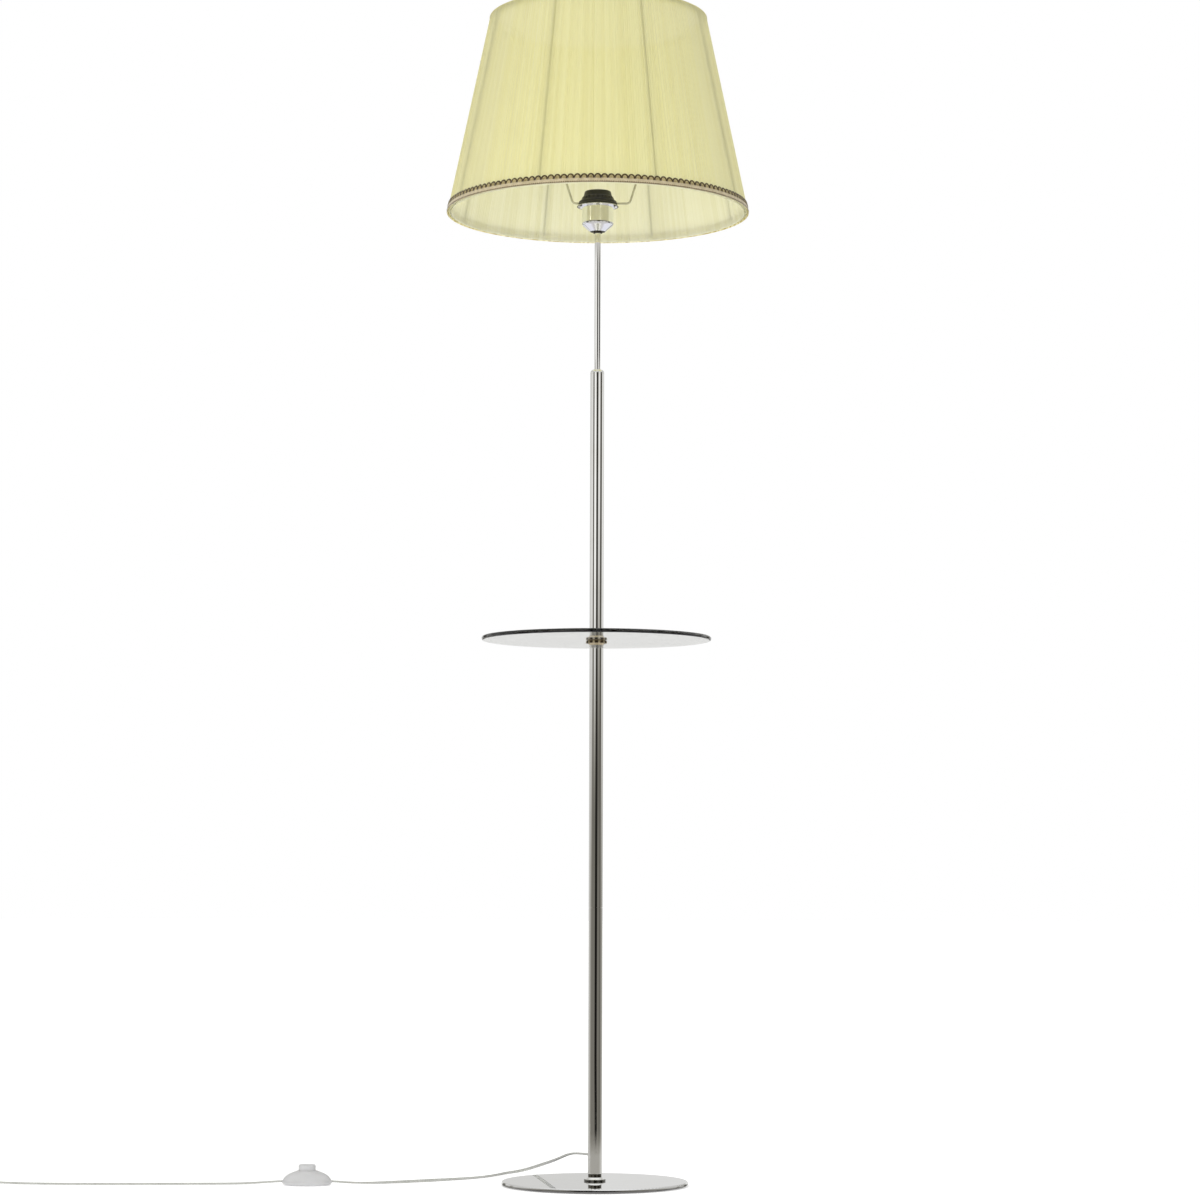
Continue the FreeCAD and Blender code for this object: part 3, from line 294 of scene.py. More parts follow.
def milky(name, light, dark, clear):
    """Milky see-through plastic: cloudy inside, softly glossy outside. clear is the share of light that
    goes straight through."""
    s = Shader(name)
    where = s.object_place()
    fine = s.noise(where, 900.0, 3.0, 0.6)
    broad = s.noise(where, 54.0, 3.0, 0.6, 0.3)
    colour = s.mix(s.ease(broad, 0.3, 0.75), light, dark)
    normal = s.bump(fine, 0.1, 0.00004)
    solid = s.node("BsdfDiffuse", {"Color": colour, "Normal": normal})
    glow = s.node("BsdfTranslucent", {"Color": colour, "Normal": normal})
    body = s.node("MixShader", {0: 0.5, 1: solid, 2: glow})
    through = s.node("BsdfTransparent", {"Color": light})
    straight = s.ease(broad, 0.2, 0.8, clear * 0.9, clear * 1.1)
    mixed = s.node("MixShader", {0: straight, 1: body, 2: through})
    gloss = s.node("BsdfGlossy", {"Color": (1, 1, 1, 1), "Roughness": 0.28, "Normal": normal})
    facing = s.node("Fresnel", {"IOR": 1.45, "Normal": normal})
    return s.finish(s.node("MixShader", {0: facing, 1: mixed, 2: gloss}))


def felt(name, light, dark):
    """Pressed felt, with its fibres lying every way."""
    s = Shader(name)
    where = s.object_place()
    fibres = s.noise(where, 2600.0, 4.0, 0.7, 1.2)
    broad = s.noise(where, 120.0, 3.0, 0.6)
    colour = s.mix(s.math("MULTIPLY", fibres, s.ease(broad, 0.2, 0.8, 0.8, 1.2)), dark, light)
    body = {"Base Color": colour, "Roughness": 0.95, "Sheen Weight": 0.5, "Sheen Roughness": 0.4,
            "Normal": s.bump(fibres, 0.6, 0.0003)}
    return s.principled(body)


def table_glass(name):
    """Lightly smoked plate glass: clear through its faces and nearly black along its ground edge."""
    s = Shader(name)
    where = s.object_place()
    smudge = s.noise(where, 14.0, 4.0, 0.6, 0.6)
    dust = s.noise(where, 2600.0, 2.0, 0.5)
    rough = s.math("ADD", s.ease(smudge, 0.5, 0.8, 0.0, 0.012), s.ease(dust, 0.68, 0.75, 0.0, 0.05))
    glass = s.node("BsdfPrincipled", {"Base Color": (1, 1, 1, 1), "Transmission Weight": 1.0, "IOR": 1.52,
                                      "Roughness": rough})
    smoke = s.node("VolumeAbsorption", {"Color": (0.60, 0.60, 0.58, 1), "Density": 33.0})
    return s.finish(glass, smoke)


def fluted_bronze(name):
    """Pale bronze with dark lacquer left in the flutes of the rim."""
    s = Shader(name)
    where = s.object_place()
    fine = s.noise(where, 900.0, 4.0, 0.6)
    broad = s.noise(where, 260.0, 3.0, 0.6, 0.5)
    # The flutes' floor and the rim's crest, off the axis, and the height where the rim starts
    flute_floor, rim_crest, rim_bottom, soft = 0.01365, 0.01395, 0.70015, 0.0003
    radius = s.math("ADD", s.off_axis(where), s.math("MULTIPLY", fine, 0.0002))
    sunk = s.ease(radius, flute_floor, rim_crest, 1.0, 0.0)
    in_rim = s.ease(s.height(where), rim_bottom, rim_bottom + soft)
    metal_colour = s.mix(s.ease(broad, 0.35, 0.75), rgb(214, 202, 172), rgb(178, 160, 122))
    lacquer = s.mix(broad, rgb(66, 47, 16), rgb(32, 22, 7))
    dark = s.math("MULTIPLY", sunk, in_rim)
    colour = s.mix(dark, metal_colour, lacquer)
    roughness = s.ease(fine, 0.3, 0.7, 0.2, 0.38)
    body = {"Base Color": colour, "Metallic": s.math("SUBTRACT", 1.0, s.math("MULTIPLY", dark, 0.7)),
            "Roughness": roughness, "Normal": s.bump(fine, 0.12, 0.00003)}
    return s.principled(body)


chrome_post = chrome("chrome_post", (0.90, 0.895, 0.88, 1), 0.035, grain_up)
chrome_disc = disc_chrome("chrome_disc")
chrome_small = chrome("chrome_small", (0.91, 0.91, 0.90, 1), 0.03, grain_round)
bronze = fluted_bronze("fluted_bronze")
gunmetal = metal("black_nickel", rgb(92, 88, 80), rgb(38, 35, 30), 0.2, 500.0)
steel = metal("steel", rgb(178, 178, 172), rgb(132, 130, 122), 0.34)
brass = metal("brass", rgb(214, 178, 106), rgb(160, 122, 62), 0.26)
black = moulded("black_plastic", rgb(13, 12, 8), rgb(7, 6, 4), 0.36)
porcelain = moulded("porcelain", rgb(238, 234, 224), rgb(222, 216, 202), 0.18, 0.6, 700.0, 0.05)
clear_plastic = milky("clear_plastic", rgb(240, 240, 234), rgb(226, 227, 220), 0.35)
switch_shell = milky("switch_shell", rgb(254, 254, 255), rgb(251, 251, 251), 0.12)
switch_inside = moulded("switch_inside", rgb(226, 224, 214), rgb(206, 203, 192), 0.4)
white_plastic = moulded("white_plastic", rgb(236, 236, 230), rgb(222, 222, 214), 0.3, 0.15)
tie_plastic = moulded("tie_plastic", rgb(222, 222, 216), rgb(198, 198, 190), 0.45)
rubber = moulded("gasket_rubber", rgb(150, 130, 92), rgb(112, 94, 60), 0.55)
pad_felt = felt("pad_felt", rgb(86, 84, 80), rgb(34, 33, 31))
glass = table_glass("smoked_glass")
wire_coat = moulded("wire_coat", rgb(146, 147, 130), rgb(120, 121, 104), 0.45)
arm_coat = arm_enamel("arm_coat")
cup_finish = cup_chrome("cup_chrome")
flange_finish = flange_chrome("flange_chrome")

finishes = {
    "floor_pad": pad_felt, "base_plate": chrome_disc, "foot_washer": steel, "foot_nut": steel,
    "foot_stud": steel, "foot_flange": flange_finish, "foot_ring": gunmetal, "foot_insert": steel,
    "lower_tube": chrome_post, "cord_bush": clear_plastic, "seam_insert": steel, "seam_spigot": steel,
    "middle_tube": chrome_post, "table_insert": steel, "table_collar": bronze, "lower_gasket": rubber,
    "glass_top": glass, "upper_gasket": rubber, "table_stud": steel, "upper_flange": chrome_small,
    "upper_insert": steel, "upper_tube": chrome_post, "top_cap": chrome_small, "stem_nut": steel,
    "stem_rod": chrome_post, "stem_locknut": gunmetal, "holder_cup": cup_finish, "cup_nut": steel,
    "contact_block": porcelain, "terminal_screws": brass, "screw_shell": brass, "centre_contact": brass,
    "saucer": chrome_small, "holder_sleeve": black, "ring_nut": black, "inner_lead": white_plastic,
    "shade_bottom_ring": wire_coat, "shade_top_ring": wire_coat, "shade_ribs": wire_coat,
    "shade_spider": arm_coat, "switch_base": switch_shell, "switch_cover": switch_shell,
    "foot_button": switch_shell, "switch_mechanism": switch_inside,
    "switch_terminals": brass, "switch_contacts": brass, "case_screws": steel, "coil_tie": tie_plastic,
    "plug_body": white_plastic, "plug_pins": steel,
}
for name, finish in finishes.items():
    data = nodes[name].data
    data.materials.clear()
    data.materials.append(finish)


# ---- Cord -----------------------------------------------------------------------------------------------

# The flat flex, over its two cores
flex_width = 3.9
flex_height = 2.5


def flex_material():
    """Clear flat twin flex, with its two strands showing pale inside, and painted shade that darkens it where
    it is seen side on.
    """
    s = Shader("clear_flex")
    where = s.object_place()
    strand = s.noise(where, 1500.0, 3.0, 0.6)
    broad = s.noise(where, 60.0, 3.0, 0.6)
    colour = s.mix(s.ease(broad, 0.3, 0.75), rgb(198, 199, 193), rgb(182, 183, 176))
    colour = s.mix(s.ease(strand, 0.5, 0.8, 0.0, 0.5), colour, rgb(166, 168, 160))
    # Painted shade: the flex darkens towards grey where it is seen side on
    painted_edge_shade = s.node("LayerWeight", {"Blend": 0.35}).outputs["Facing"]
    colour = s.mix(s.ease(painted_edge_shade, 0.2, 0.85), colour, rgb(98, 100, 92))
    body = {"Base Color": colour, "Roughness": 0.25, "Transmission Weight": 0.15, "IOR": 1.46,
            "Coat Weight": 0.3, "Coat Roughness": 0.1, "Normal": s.bump(strand, 0.08, 0.00004)}
    return s.principled(body)


flex = flex_material()


def flex_profile():
    """The section of the flex: two round cores side by side."""
    core = flex_height / 2
    offset = flex_width / 2 - core
    reach = math.pi - math.acos(offset / core)
    section = bpy.data.curves.new("flex_section", "CURVE")
    section.dimensions = "2D"
    points = []
    steps = 8
    for side in (1, -1):
        for i in range(steps + 1):
            angle = -reach + 2 * reach * i / steps
            points.append((side * (offset + core * math.cos(angle)), side * core * math.sin(angle)))
    line = section.splines.new("POLY")
    line.points.add(len(points) - 1)
    for p, (x, y) in zip(line.points, points):
        p.co = (x * MM, y * MM, 0, 1)
    line.use_cyclic_u = True
    obj = place(section, "flex_section")
    obj.hide_render = True
    obj.hide_viewport = True
    return obj


section = flex_profile()


def cord_piece(name, points, tilts=None):
    """A flex along a route of points in millimetres, on one smooth line. tilts turn it about that line."""
    curve = bpy.data.curves.new(name, "CURVE")
    curve.dimensions = "3D"
    curve.twist_mode = "Z_UP"
    curve.bevel_mode = "OBJECT"
    curve.bevel_object = section
    curve.use_fill_caps = True
    curve.resolution_u = 10
    line = curve.splines.new("NURBS")
    line.points.add(len(points) - 1)
    for i, (p, co) in enumerate(zip(line.points, points)):
        p.co = (co[0] * MM, co[1] * MM, co[2] * MM, 1)
        p.tilt = math.radians(tilts[i]) if tilts else 0.0
    line.order_u = 3
    line.use_endpoint_u = True
    curve.materials.append(flex)
    obj = place(curve, name)
    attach(obj, "lamp")
    return obj


lead_route = [
    (-5.44, 8.98, 38.5), (-17, 28.07, 38.5), (-33, 54, 36.5), (-52, 88, 25), (-72, 131, 15), (-88, 160, 7.5),
    (-103, 170, 3.0), (-118, 155, 2.3), (-131, 124, 2.0), (-153, 88, 1.9), (-190, 58, 2.0), (-228, 33, 2.2),
    (-268, 13, 1.9), (-302, 3, 2.0), (-322, -5, 3.6), (-335, -8, 5), (-346, -8, 5),
]
# Degrees that the flat cord stands up from lying on its side, at each point
lead_tilts = [0, 0, 5, 35, 75, 90, 75, 50, 30, 25, 50, 85, 40, 5, 0, 0, 0]
lead = cord_piece("lead_flex", lead_route, lead_tilts)

# The put-away part: a round coil in layers that go in and out by turns, each lying on the one before
coil_centre = (-815.0, 15.0)
coil_inner, coil_outer = 13.5, 24.0
coil_lift, coil_pitch = 2.9, 3.6
coil_turns, coil_layers, layer_turns = 10, 4, 2.5
climb_turns = 0.5
coil_side = coil_centre[1] - coil_outer


def coil_place(turn):
    """Where the cord is after a number of turns. It climbs to the next layer in half a turn."""
    layer = min(int(turn / layer_turns), coil_layers - 1)
    share = turn / layer_turns - layer
    radius = coil_inner + (coil_outer - coil_inner) * (1 - share if layer % 2 == 0 else share)
    height = coil_lift
    for step in range(1, coil_layers):
        height += coil_pitch * min(max((turn - step * layer_turns) / climb_turns + 0.5, 0.0), 1.0)
    angle = -math.pi / 2 - 2 * math.pi * turn
    return (coil_centre[0] + radius * math.cos(angle), coil_centre[1] + radius * math.sin(angle), height)


supply_route = [
    (-394, -8, 5), (-405, -8, 5), (-424, -5.5, 3.4), (-450, -3, 1.6), (-485, -9.5, 1.7), (-537, -12, 1.6),
    (-592, -15.5, 1.7), (-645, -17.5, 1.6), (-695, -18, 1.7), (-740, -14, 1.9), (-780, coil_side, coil_lift),
]
coil_top = coil_lift + (coil_layers - 1) * coil_pitch
turn_steps = 14
coil_route = [coil_place(i / turn_steps) for i in range(coil_turns * turn_steps + 1)]
tail_route = [(-832, coil_side, coil_top), (-849, coil_side - 0.8, 10.4), (-864, coil_side - 1, 6.85),
              (-876, coil_side - 1, 6.85)]
supply = cord_piece("supply_flex", supply_route + coil_route + tail_route)

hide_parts("cord_lead")
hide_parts("cord_supply", "cord_coil", "cord_tail")


def return_spring():
    """The spring under the foot button, wound anew here in place of the part's own spring."""
    low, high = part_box("button_spring")
    wire = 0.45
    centre = ((low.x + high.x) / 2 / MM, (low.y + high.y) / 2 / MM)
    radius = (high.x - low.x) / 2 / MM - wire
    bottom, top = low.z / MM + wire, high.z / MM - wire
    turns, steps, sides = 5, 48, 12
    count = turns * steps
    points, faces = [], []
    for i in range(count + 1):
        angle = 2 * math.pi * i / steps
        height = bottom + (top - bottom) * i / count
        for k in range(sides):
            turn = 2 * math.pi * k / sides
            out = radius + wire * math.cos(turn)
            points.append((centre[0] + out * math.cos(angle), centre[1] + out * math.sin(angle),
                           height + wire * math.sin(turn)))
        if i:
            for k in range(sides):
                a, b = (i - 1) * sides, i * sides
                faces.append((a + k, b + k, b + (k + 1) % sides, a + (k + 1) % sides))
    faces += [tuple(range(sides)), tuple(reversed(range(count * sides, (count + 1) * sides)))]
    piece = mesh_piece("return_spring", points, faces, [steel])
    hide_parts("button_spring")
    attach(piece, "lamp")
    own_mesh(piece)
    return piece


spring = return_spring()


# ---- Shade ----------------------------------------------------------------------------------------------

edge_low, edge_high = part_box("shade_braid")
shade_z = edge_low.z / MM
shade_r = (edge_high.x - edge_low.x) / 2 / MM
shade_top_r = 145.0
shade_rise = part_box("shade_binding")[1].z / MM - shade_z
slope = math.atan((shade_r - shade_top_r) / shade_rise)
slant_length = shade_rise / math.cos(slope)
dice = random.Random(7)


def on_side(angle, up, out):
    """A point of the shade: an angle, a distance up its slanting side and one square out of it."""
    radius = shade_r - up * math.sin(slope) + out * math.cos(slope)
    height = shade_z + up * math.cos(slope) + out * math.sin(slope)
    return (radius * math.cos(angle), radius * math.sin(angle), height)


def pleat_columns(count, depth, steps):
    """Angles round the shade with how far out the cloth lies there, for pleats of uneven width."""
    widths = [1 + dice.uniform(-0.35, 0.35) for _ in range(count)]
    whole = sum(widths)
    start = 0.0
    columns = []
    for k, width in enumerate(widths):
        deep = depth * (1 + dice.uniform(-0.35, 0.3))
        lean = dice.uniform(0.3, 0.7)
        for i in range(steps):
            t = i / steps
            warped = t / (2 * lean) if t < lean else 0.5 + (t - lean) / (2 * (1 - lean))
            out = -deep * 0.5 * (1 + math.cos(2 * math.pi * warped))
            columns.append((2 * math.pi * (start + width * t) / whole, out, k))
        start += width
    return columns


def cloth_piece(name, path, count, depth, steps, material, sway):
    """A pleated cloth round the shade. path is a list of (up, out, share of the pleats' depth, way the
    pleats point), where the way turns from outward to downward round a folded edge. sway is how far the
    pleats wander sideways, in millimetres, in two smooth waves."""
    columns = pleat_columns(count, depth, steps)
    points, uvs = [], []
    travelled = 0.0
    before = None
    for up, out, share, way in path:
        if before:
            travelled += math.hypot(up - before[0], out - before[1])
        before = (up, out)
        for angle, fold, _ in columns:
            wave = math.sin(9 * angle + travelled / 70.0) + 0.6 * math.sin(23 * angle - travelled / 45.0)
            drift = sway * wave / shade_r
            d = fold * share
            points.append(on_side(angle + drift, up - d * math.sin(way), out + d * math.cos(way)))
            uvs.append((angle * shade_r * MM, travelled * MM))
    n = len(columns)
    faces = []
    for r in range(len(path) - 1):
        for c in range(n):
            d = (c + 1) % n
            faces.append((r * n + c, r * n + d, (r + 1) * n + d, (r + 1) * n + c))
    obj = mesh_piece(name, points, faces, [material], None, uvs)
    tone = obj.data.attributes.new("pleat_tone", "FLOAT", "POINT")
    tones = [dice.random() for _ in range(count)]
    fine = [dice.uniform(-0.25, 0.25) for _ in range(len(columns))]
    values = [min(max(tones[columns[c][2]] + fine[c], 0), 1) for _ in path for c in range(n)]
    tone.data.foreach_set("value", values)
    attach(obj, "lamp")
    return obj


def organza(name, bright, deep, tint, ahead, sheer, glow_share):
    """Sheer pleated cloth. It scatters light on both sides, lets some on ahead of it, softened, and a
    little straight through."""
    s = Shader(name)
    flat = s.along()
    tone = s.node("Attribute", attribute_name="pleat_tone").outputs["Fac"]
    streak = s.noise(s.stretched(flat, 900, 9, 1), 1.0, 3.0, 0.6)
    threads = s.noise(s.stretched(flat, 5200, 700, 1), 1.0, 2.0, 0.5)
    slubs = s.noise(s.stretched(flat, 500, 3200, 1), 1.0, 2.0, 0.5)
    weave = s.math("ADD", s.math("MULTIPLY", threads, 0.6), s.math("MULTIPLY", slubs, 0.4))
    shade_of = s.math("ADD", s.math("MULTIPLY", tone, 0.55), s.math("MULTIPLY", streak, 0.45))
    colour = s.mix(s.ease(shade_of, 0.2, 0.8), deep, bright)
    normal = s.bump(weave, 0.18, 0.00008)
    front = s.node("BsdfDiffuse", {"Color": colour, "Normal": normal})
    glow = s.node("BsdfTranslucent", {"Color": colour, "Normal": normal})
    cloth = s.node("MixShader", {0: glow_share, 1: front, 2: glow})
    silk = s.node("BsdfGlossy", {"Color": (1, 0.99, 0.93, 1), "Roughness": 0.42, "Normal": normal})
    rim = s.node("LayerWeight", {"Blend": 0.25, "Normal": normal}).outputs["Fresnel"]
    cloth = s.node("MixShader", {0: s.ease(rim, 0.0, 1.0, 0.02, 0.22), 1: cloth, 2: silk})
    softened = s.node("BsdfRefraction", {"Color": tint, "IOR": 1.02, "Roughness": 0.45, "Normal": normal})
    closeness = s.math("ADD", s.math("MULTIPLY", weave, 0.6), s.math("MULTIPLY", tone, 0.4))
    ahead_share = s.ease(closeness, 0.25, 0.75, ahead * 1.25, ahead * 0.75)
    cloth = s.node("MixShader", {0: ahead_share, 1: cloth, 2: softened})
    clear = s.node("BsdfTransparent", {"Color": tint})
    return s.finish(s.node("MixShader", {0: sheer, 1: cloth, 2: clear}))


yellow_tint = (1, 0.985, 0.87, 1)
cover_cloth = organza("cover_organza", (0.875, 0.845, 0.49, 1), (0.82, 0.78, 0.41, 1), yellow_tint,
                      ahead=0.16, sheer=0.12, glow_share=0.45)
lining_cloth = organza("lining_organza", (0.96, 0.955, 0.82, 1), (0.89, 0.88, 0.70, 1), (1, 0.99, 0.93, 1),
                       ahead=0.16, sheer=0.10, glow_share=0.42)
tape_cloth = organza("tape_organza", (0.88, 0.83, 0.47, 1), (0.82, 0.765, 0.40, 1), yellow_tint,
                     ahead=0.3, sheer=0.10, glow_share=0.5)

# The cloths, from the top edge down. The cover turns inward round the lower ring in a half circle.
pleats, pleat_steps, pleat_sway = 300, 6, 0.3
cover_depth, lining_depth = 0.42, 0.3
cover_out = -1.4
edge_gap = 0.9
hem_up, hem_radius, hem_steps, hem_tuck = 3.6, 2.35, 5, 4.0
rows = 18
top_up = slant_length - edge_gap
cover_path = [(top_up + (hem_up - top_up) * i / rows, cover_out, 1.0, 0.0) for i in range(rows + 1)]
for i in range(1, hem_steps + 1):
    angle = math.pi * i / hem_steps
    inward = hem_radius * (1 - math.cos(angle))
    cover_path.append((hem_up - hem_radius * math.sin(angle), cover_out - inward, 1.0, angle))
cover_path.append((hem_up + hem_tuck, cover_out - 2 * hem_radius, 0.7, math.pi))
cover = cloth_piece("cover_cloth", cover_path, pleats, cover_depth, pleat_steps, cover_cloth, pleat_sway)
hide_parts("shade_cover")

lining_out = cover_out - 5.3
lining_path = [(top_up + (edge_gap - top_up) * i / rows, lining_out, 1.0, math.pi) for i in range(rows + 1)]
lining = cloth_piece("lining_cloth", lining_path, pleats, lining_depth, pleat_steps, lining_cloth, pleat_sway)
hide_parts("shade_lining")


def yarn(name, light, dark):
    """Twisted gimp yarn, with its strands showing across it."""
    s = Shader(name)
    where = s.object_place()
    strands = s.noise(where, 1400.0, 3.0, 0.6, 0.8)
    broad = s.noise(where, 168.0, 2.0, 0.5)
    mixed = s.math("ADD", s.math("MULTIPLY", strands, 0.65), s.math("MULTIPLY", broad, 0.35))
    colour = s.mix(s.ease(mixed, 0.36, 0.64), dark, light)
    body = {"Base Color": colour, "Roughness": 0.8, "Sheen Weight": 0.35, "Sheen Roughness": 0.4,
            "Normal": s.bump(strands, 0.5, 0.00015)}
    return s.principled(body)


braid_beige = yarn("braid_beige", rgb(196, 181, 132), rgb(138, 122, 76))
braid_dark = yarn("braid_dark", rgb(88, 68, 24), rgb(46, 32, 8))
braid_pale = yarn("braid_pale", rgb(206, 192, 160), rgb(172, 157, 122))


def backing(name, light, dark):
    """The back of the braid, where its warp shows in uneven upright streaks."""
    s = Shader(name)
    where = s.object_place()
    streaks = s.noise(s.stretched(where, 190, 190, 8), 1.0, 3.0, 0.6)
    fibres = s.noise(where, 1400.0, 3.0, 0.6, 0.8)
    share = s.math("ADD", s.math("MULTIPLY", streaks, 0.8), s.math("MULTIPLY", fibres, 0.2))
    colour = s.mix(s.ease(share, 0.38, 0.62), dark, light)
    body = {"Base Color": colour, "Roughness": 0.85, "Sheen Weight": 0.2, "Sheen Roughness": 0.4,
            "Normal": s.bump(fibres, 0.5, 0.00015)}
    return s.principled(body)


braid_back = backing("braid_back", rgb(250, 244, 196), rgb(186, 166, 74))


def braid():
    """The scalloped braid: a woven band, domes edged with a dark looped yarn, and a dotted stitch line."""
    points, faces, which = [], [], []
    beige, dark, pale, back = range(4)
    stitches = 432

    def tube(line, radius, sides, material, flat=1.0):
        """A yarn along a line of places, each with the way across it, and flattened against the band."""
        first = len(points)
        for (angle, up, out), (du, dv) in line:
            for k in range(sides):
                a = 2 * math.pi * k / sides
                across = radius * math.cos(a)
                points.append(on_side(angle + across * du / shade_r, up + across * dv,
                                      out + radius * flat * math.sin(a)))
        for i in range(len(line) - 1):
            here, there = first + i * sides, first + (i + 1) * sides
            for k in range(sides):
                m = (k + 1) % sides
                faces.append((here + k, here + m, there + m, there + k))
                which.append(material)

    def ring(outline, material):
        """A band all round the shade. The last side of its outline is its back."""
        first = len(points)
        size = len(outline)
        for i in range(stitches):
            angle = 2 * math.pi * i / stitches
            for up, out in outline:
                points.append(on_side(angle, up, out))
        for i in range(stitches):
            here, there = first + i * size, first + (i + 1) % stitches * size
            for k in range(size):
                m = (k + 1) % size
                faces.append((here + k, there + k, there + m, here + m))
                which.append(back if k == size - 1 else material)

    ring([(0.0, -1.1), (0.0, -0.6), (0.4, -0.35), (5.4, -0.35), (6.2, -0.6), (6.2, -1.1)], pale)
    ring([(4.6, -1.15), (4.6, -0.75), (9.4, -0.8), (9.4, -1.15)], dark)
    ring([(0.0, -0.62), (0.25, -0.42), (0.55, -0.3), (0.4, -0.7)], dark)

    scallops = 144
    half = math.pi * shade_r / scallops - 0.75
    foot, mean_height = 7.4, 3.75
    loop_yarn, loop_flatness, eye_yarn = 1.02, 0.45, 0.38
    eye_width, eye_height = 1.35, 1.7
    inside = half - 0.85
    arc, rounds, eye_arc = 10, 3, 8  # steps along a loop, from a dome's middle to its edge and along an eye
    for i in range(scallops):
        middle = 2 * math.pi * i / scallops
        tall = mean_height * (1 + dice.uniform(-0.06, 0.06))
        line = []
        for k in range(-1, arc + 2):
            a = math.pi * k / arc
            if k < 0 or k > arc:
                side = 1 if k < 0 else -1
                line.append(((middle + side * half / shade_r, foot - 1.9, -0.6), (1.0, 0.0)))
                continue
            x, y = half * math.cos(a), tall * math.sin(a)
            line.append(((middle + x / shade_r, foot + y, -0.4), (math.cos(a), math.sin(a))))
        tube(line, loop_yarn, 6, dark, loop_flatness)
        # The dome inside the loop
        first = len(points)
        for r in range(rounds + 1):
            share = r / rounds
            for k in range(arc + 1):
                a = math.pi * k / arc
                x = inside * math.cos(a) * share
                y = (tall - 0.75) * math.sin(a) * share
                points.append(on_side(middle + x / shade_r, foot - 0.4 + y, -0.15 - 0.4 * share**2))
        for r in range(rounds):
            for k in range(arc):
                a = first + r * (arc + 1) + k
                faces.append((a, a + arc + 1, a + arc + 2, a + 1))
                which.append(beige)
        # The small eye on the dome, and the flat beige foot under it
        line = []
        for k in range(eye_arc + 1):
            a = math.pi * k / eye_arc
            line.append(((middle + eye_width * math.cos(a) / shade_r, foot - 0.3 + eye_height * math.sin(a),
                          -0.2), (math.cos(a), math.sin(a))))
        tube(line, eye_yarn, 5, beige)
        first = len(points)
        for side in (-1, 1):
            x = side * inside
            points.append(on_side(middle + x / shade_r, 5.2, -0.4))
            points.append(on_side(middle + x / shade_r, foot - 0.35, -0.5))
        faces.append((first, first + 2, first + 3, first + 1))
        which.append(beige)

    # The dotted line of stitches near the lower edge
    dot_up, dot_width, dot_height, corners = 1.25, 1.3, 0.75, 6
    for i in range(stitches):
        middle = 2 * math.pi * i / stitches
        first = len(points)
        points.append(on_side(middle, dot_up, 0.0))
        for k in range(corners):
            a = 2 * math.pi * k / corners
            across = dot_width * math.cos(a) / shade_r
            points.append(on_side(middle + across, dot_up + dot_height * math.sin(a), -0.38))
        for k in range(corners):
            faces.append((first, first + 1 + k, first + 1 + (k + 1) % corners))
            which.append(dark)
    return mesh_piece("braid_trim", points, faces, [braid_beige, braid_dark, braid_pale, braid_back], which)


trim = braid()
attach(trim, "lamp")
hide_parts("shade_braid")


def top_tape():
    """The tape folded over the cover and the lining at the top edge."""
    clearance = 0.55
    inner = lining_out - clearance
    outer = cover_out + clearance
    low = slant_length - 7.2
    high = slant_length + 0.1
    outer_flap = high - 2.4
    outline = [(outer_flap, outer - 0.25), (outer_flap + 0.4, outer), (high - 0.8, outer),
               (high - 0.2, outer - 0.35), (high, outer - 1.0), (high, inner + 1.0),
               (high - 0.2, inner + 0.35), (high - 0.8, inner), (low + 0.4, inner), (low, inner + 0.25)]
    count = 240
    ripple, ripples = 0.05, 37
    points, uvs, faces = [], [], []
    for i in range(count):
        angle = 2 * math.pi * i / count
        travelled = 0.0
        for k, (up, out) in enumerate(outline):
            if k:
                travelled += math.hypot(up - outline[k - 1][0], out - outline[k - 1][1])
            points.append(on_side(angle, up, out + ripple * math.sin(ripples * angle)))
            uvs.append((angle * shade_top_r * MM, travelled * MM))
    size = len(outline)
    for i in range(count):
        j = (i + 1) % count
        for k in range(size - 1):
            faces.append((i * size + k, j * size + k, j * size + k + 1, i * size + k + 1))
    return mesh_piece("top_tape", points, faces, [tape_cloth], None, uvs)


tape = top_tape()
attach(tape, "lamp")
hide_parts("shade_binding")


# ---- Studio ---------------------------------------------------------------------------------------------


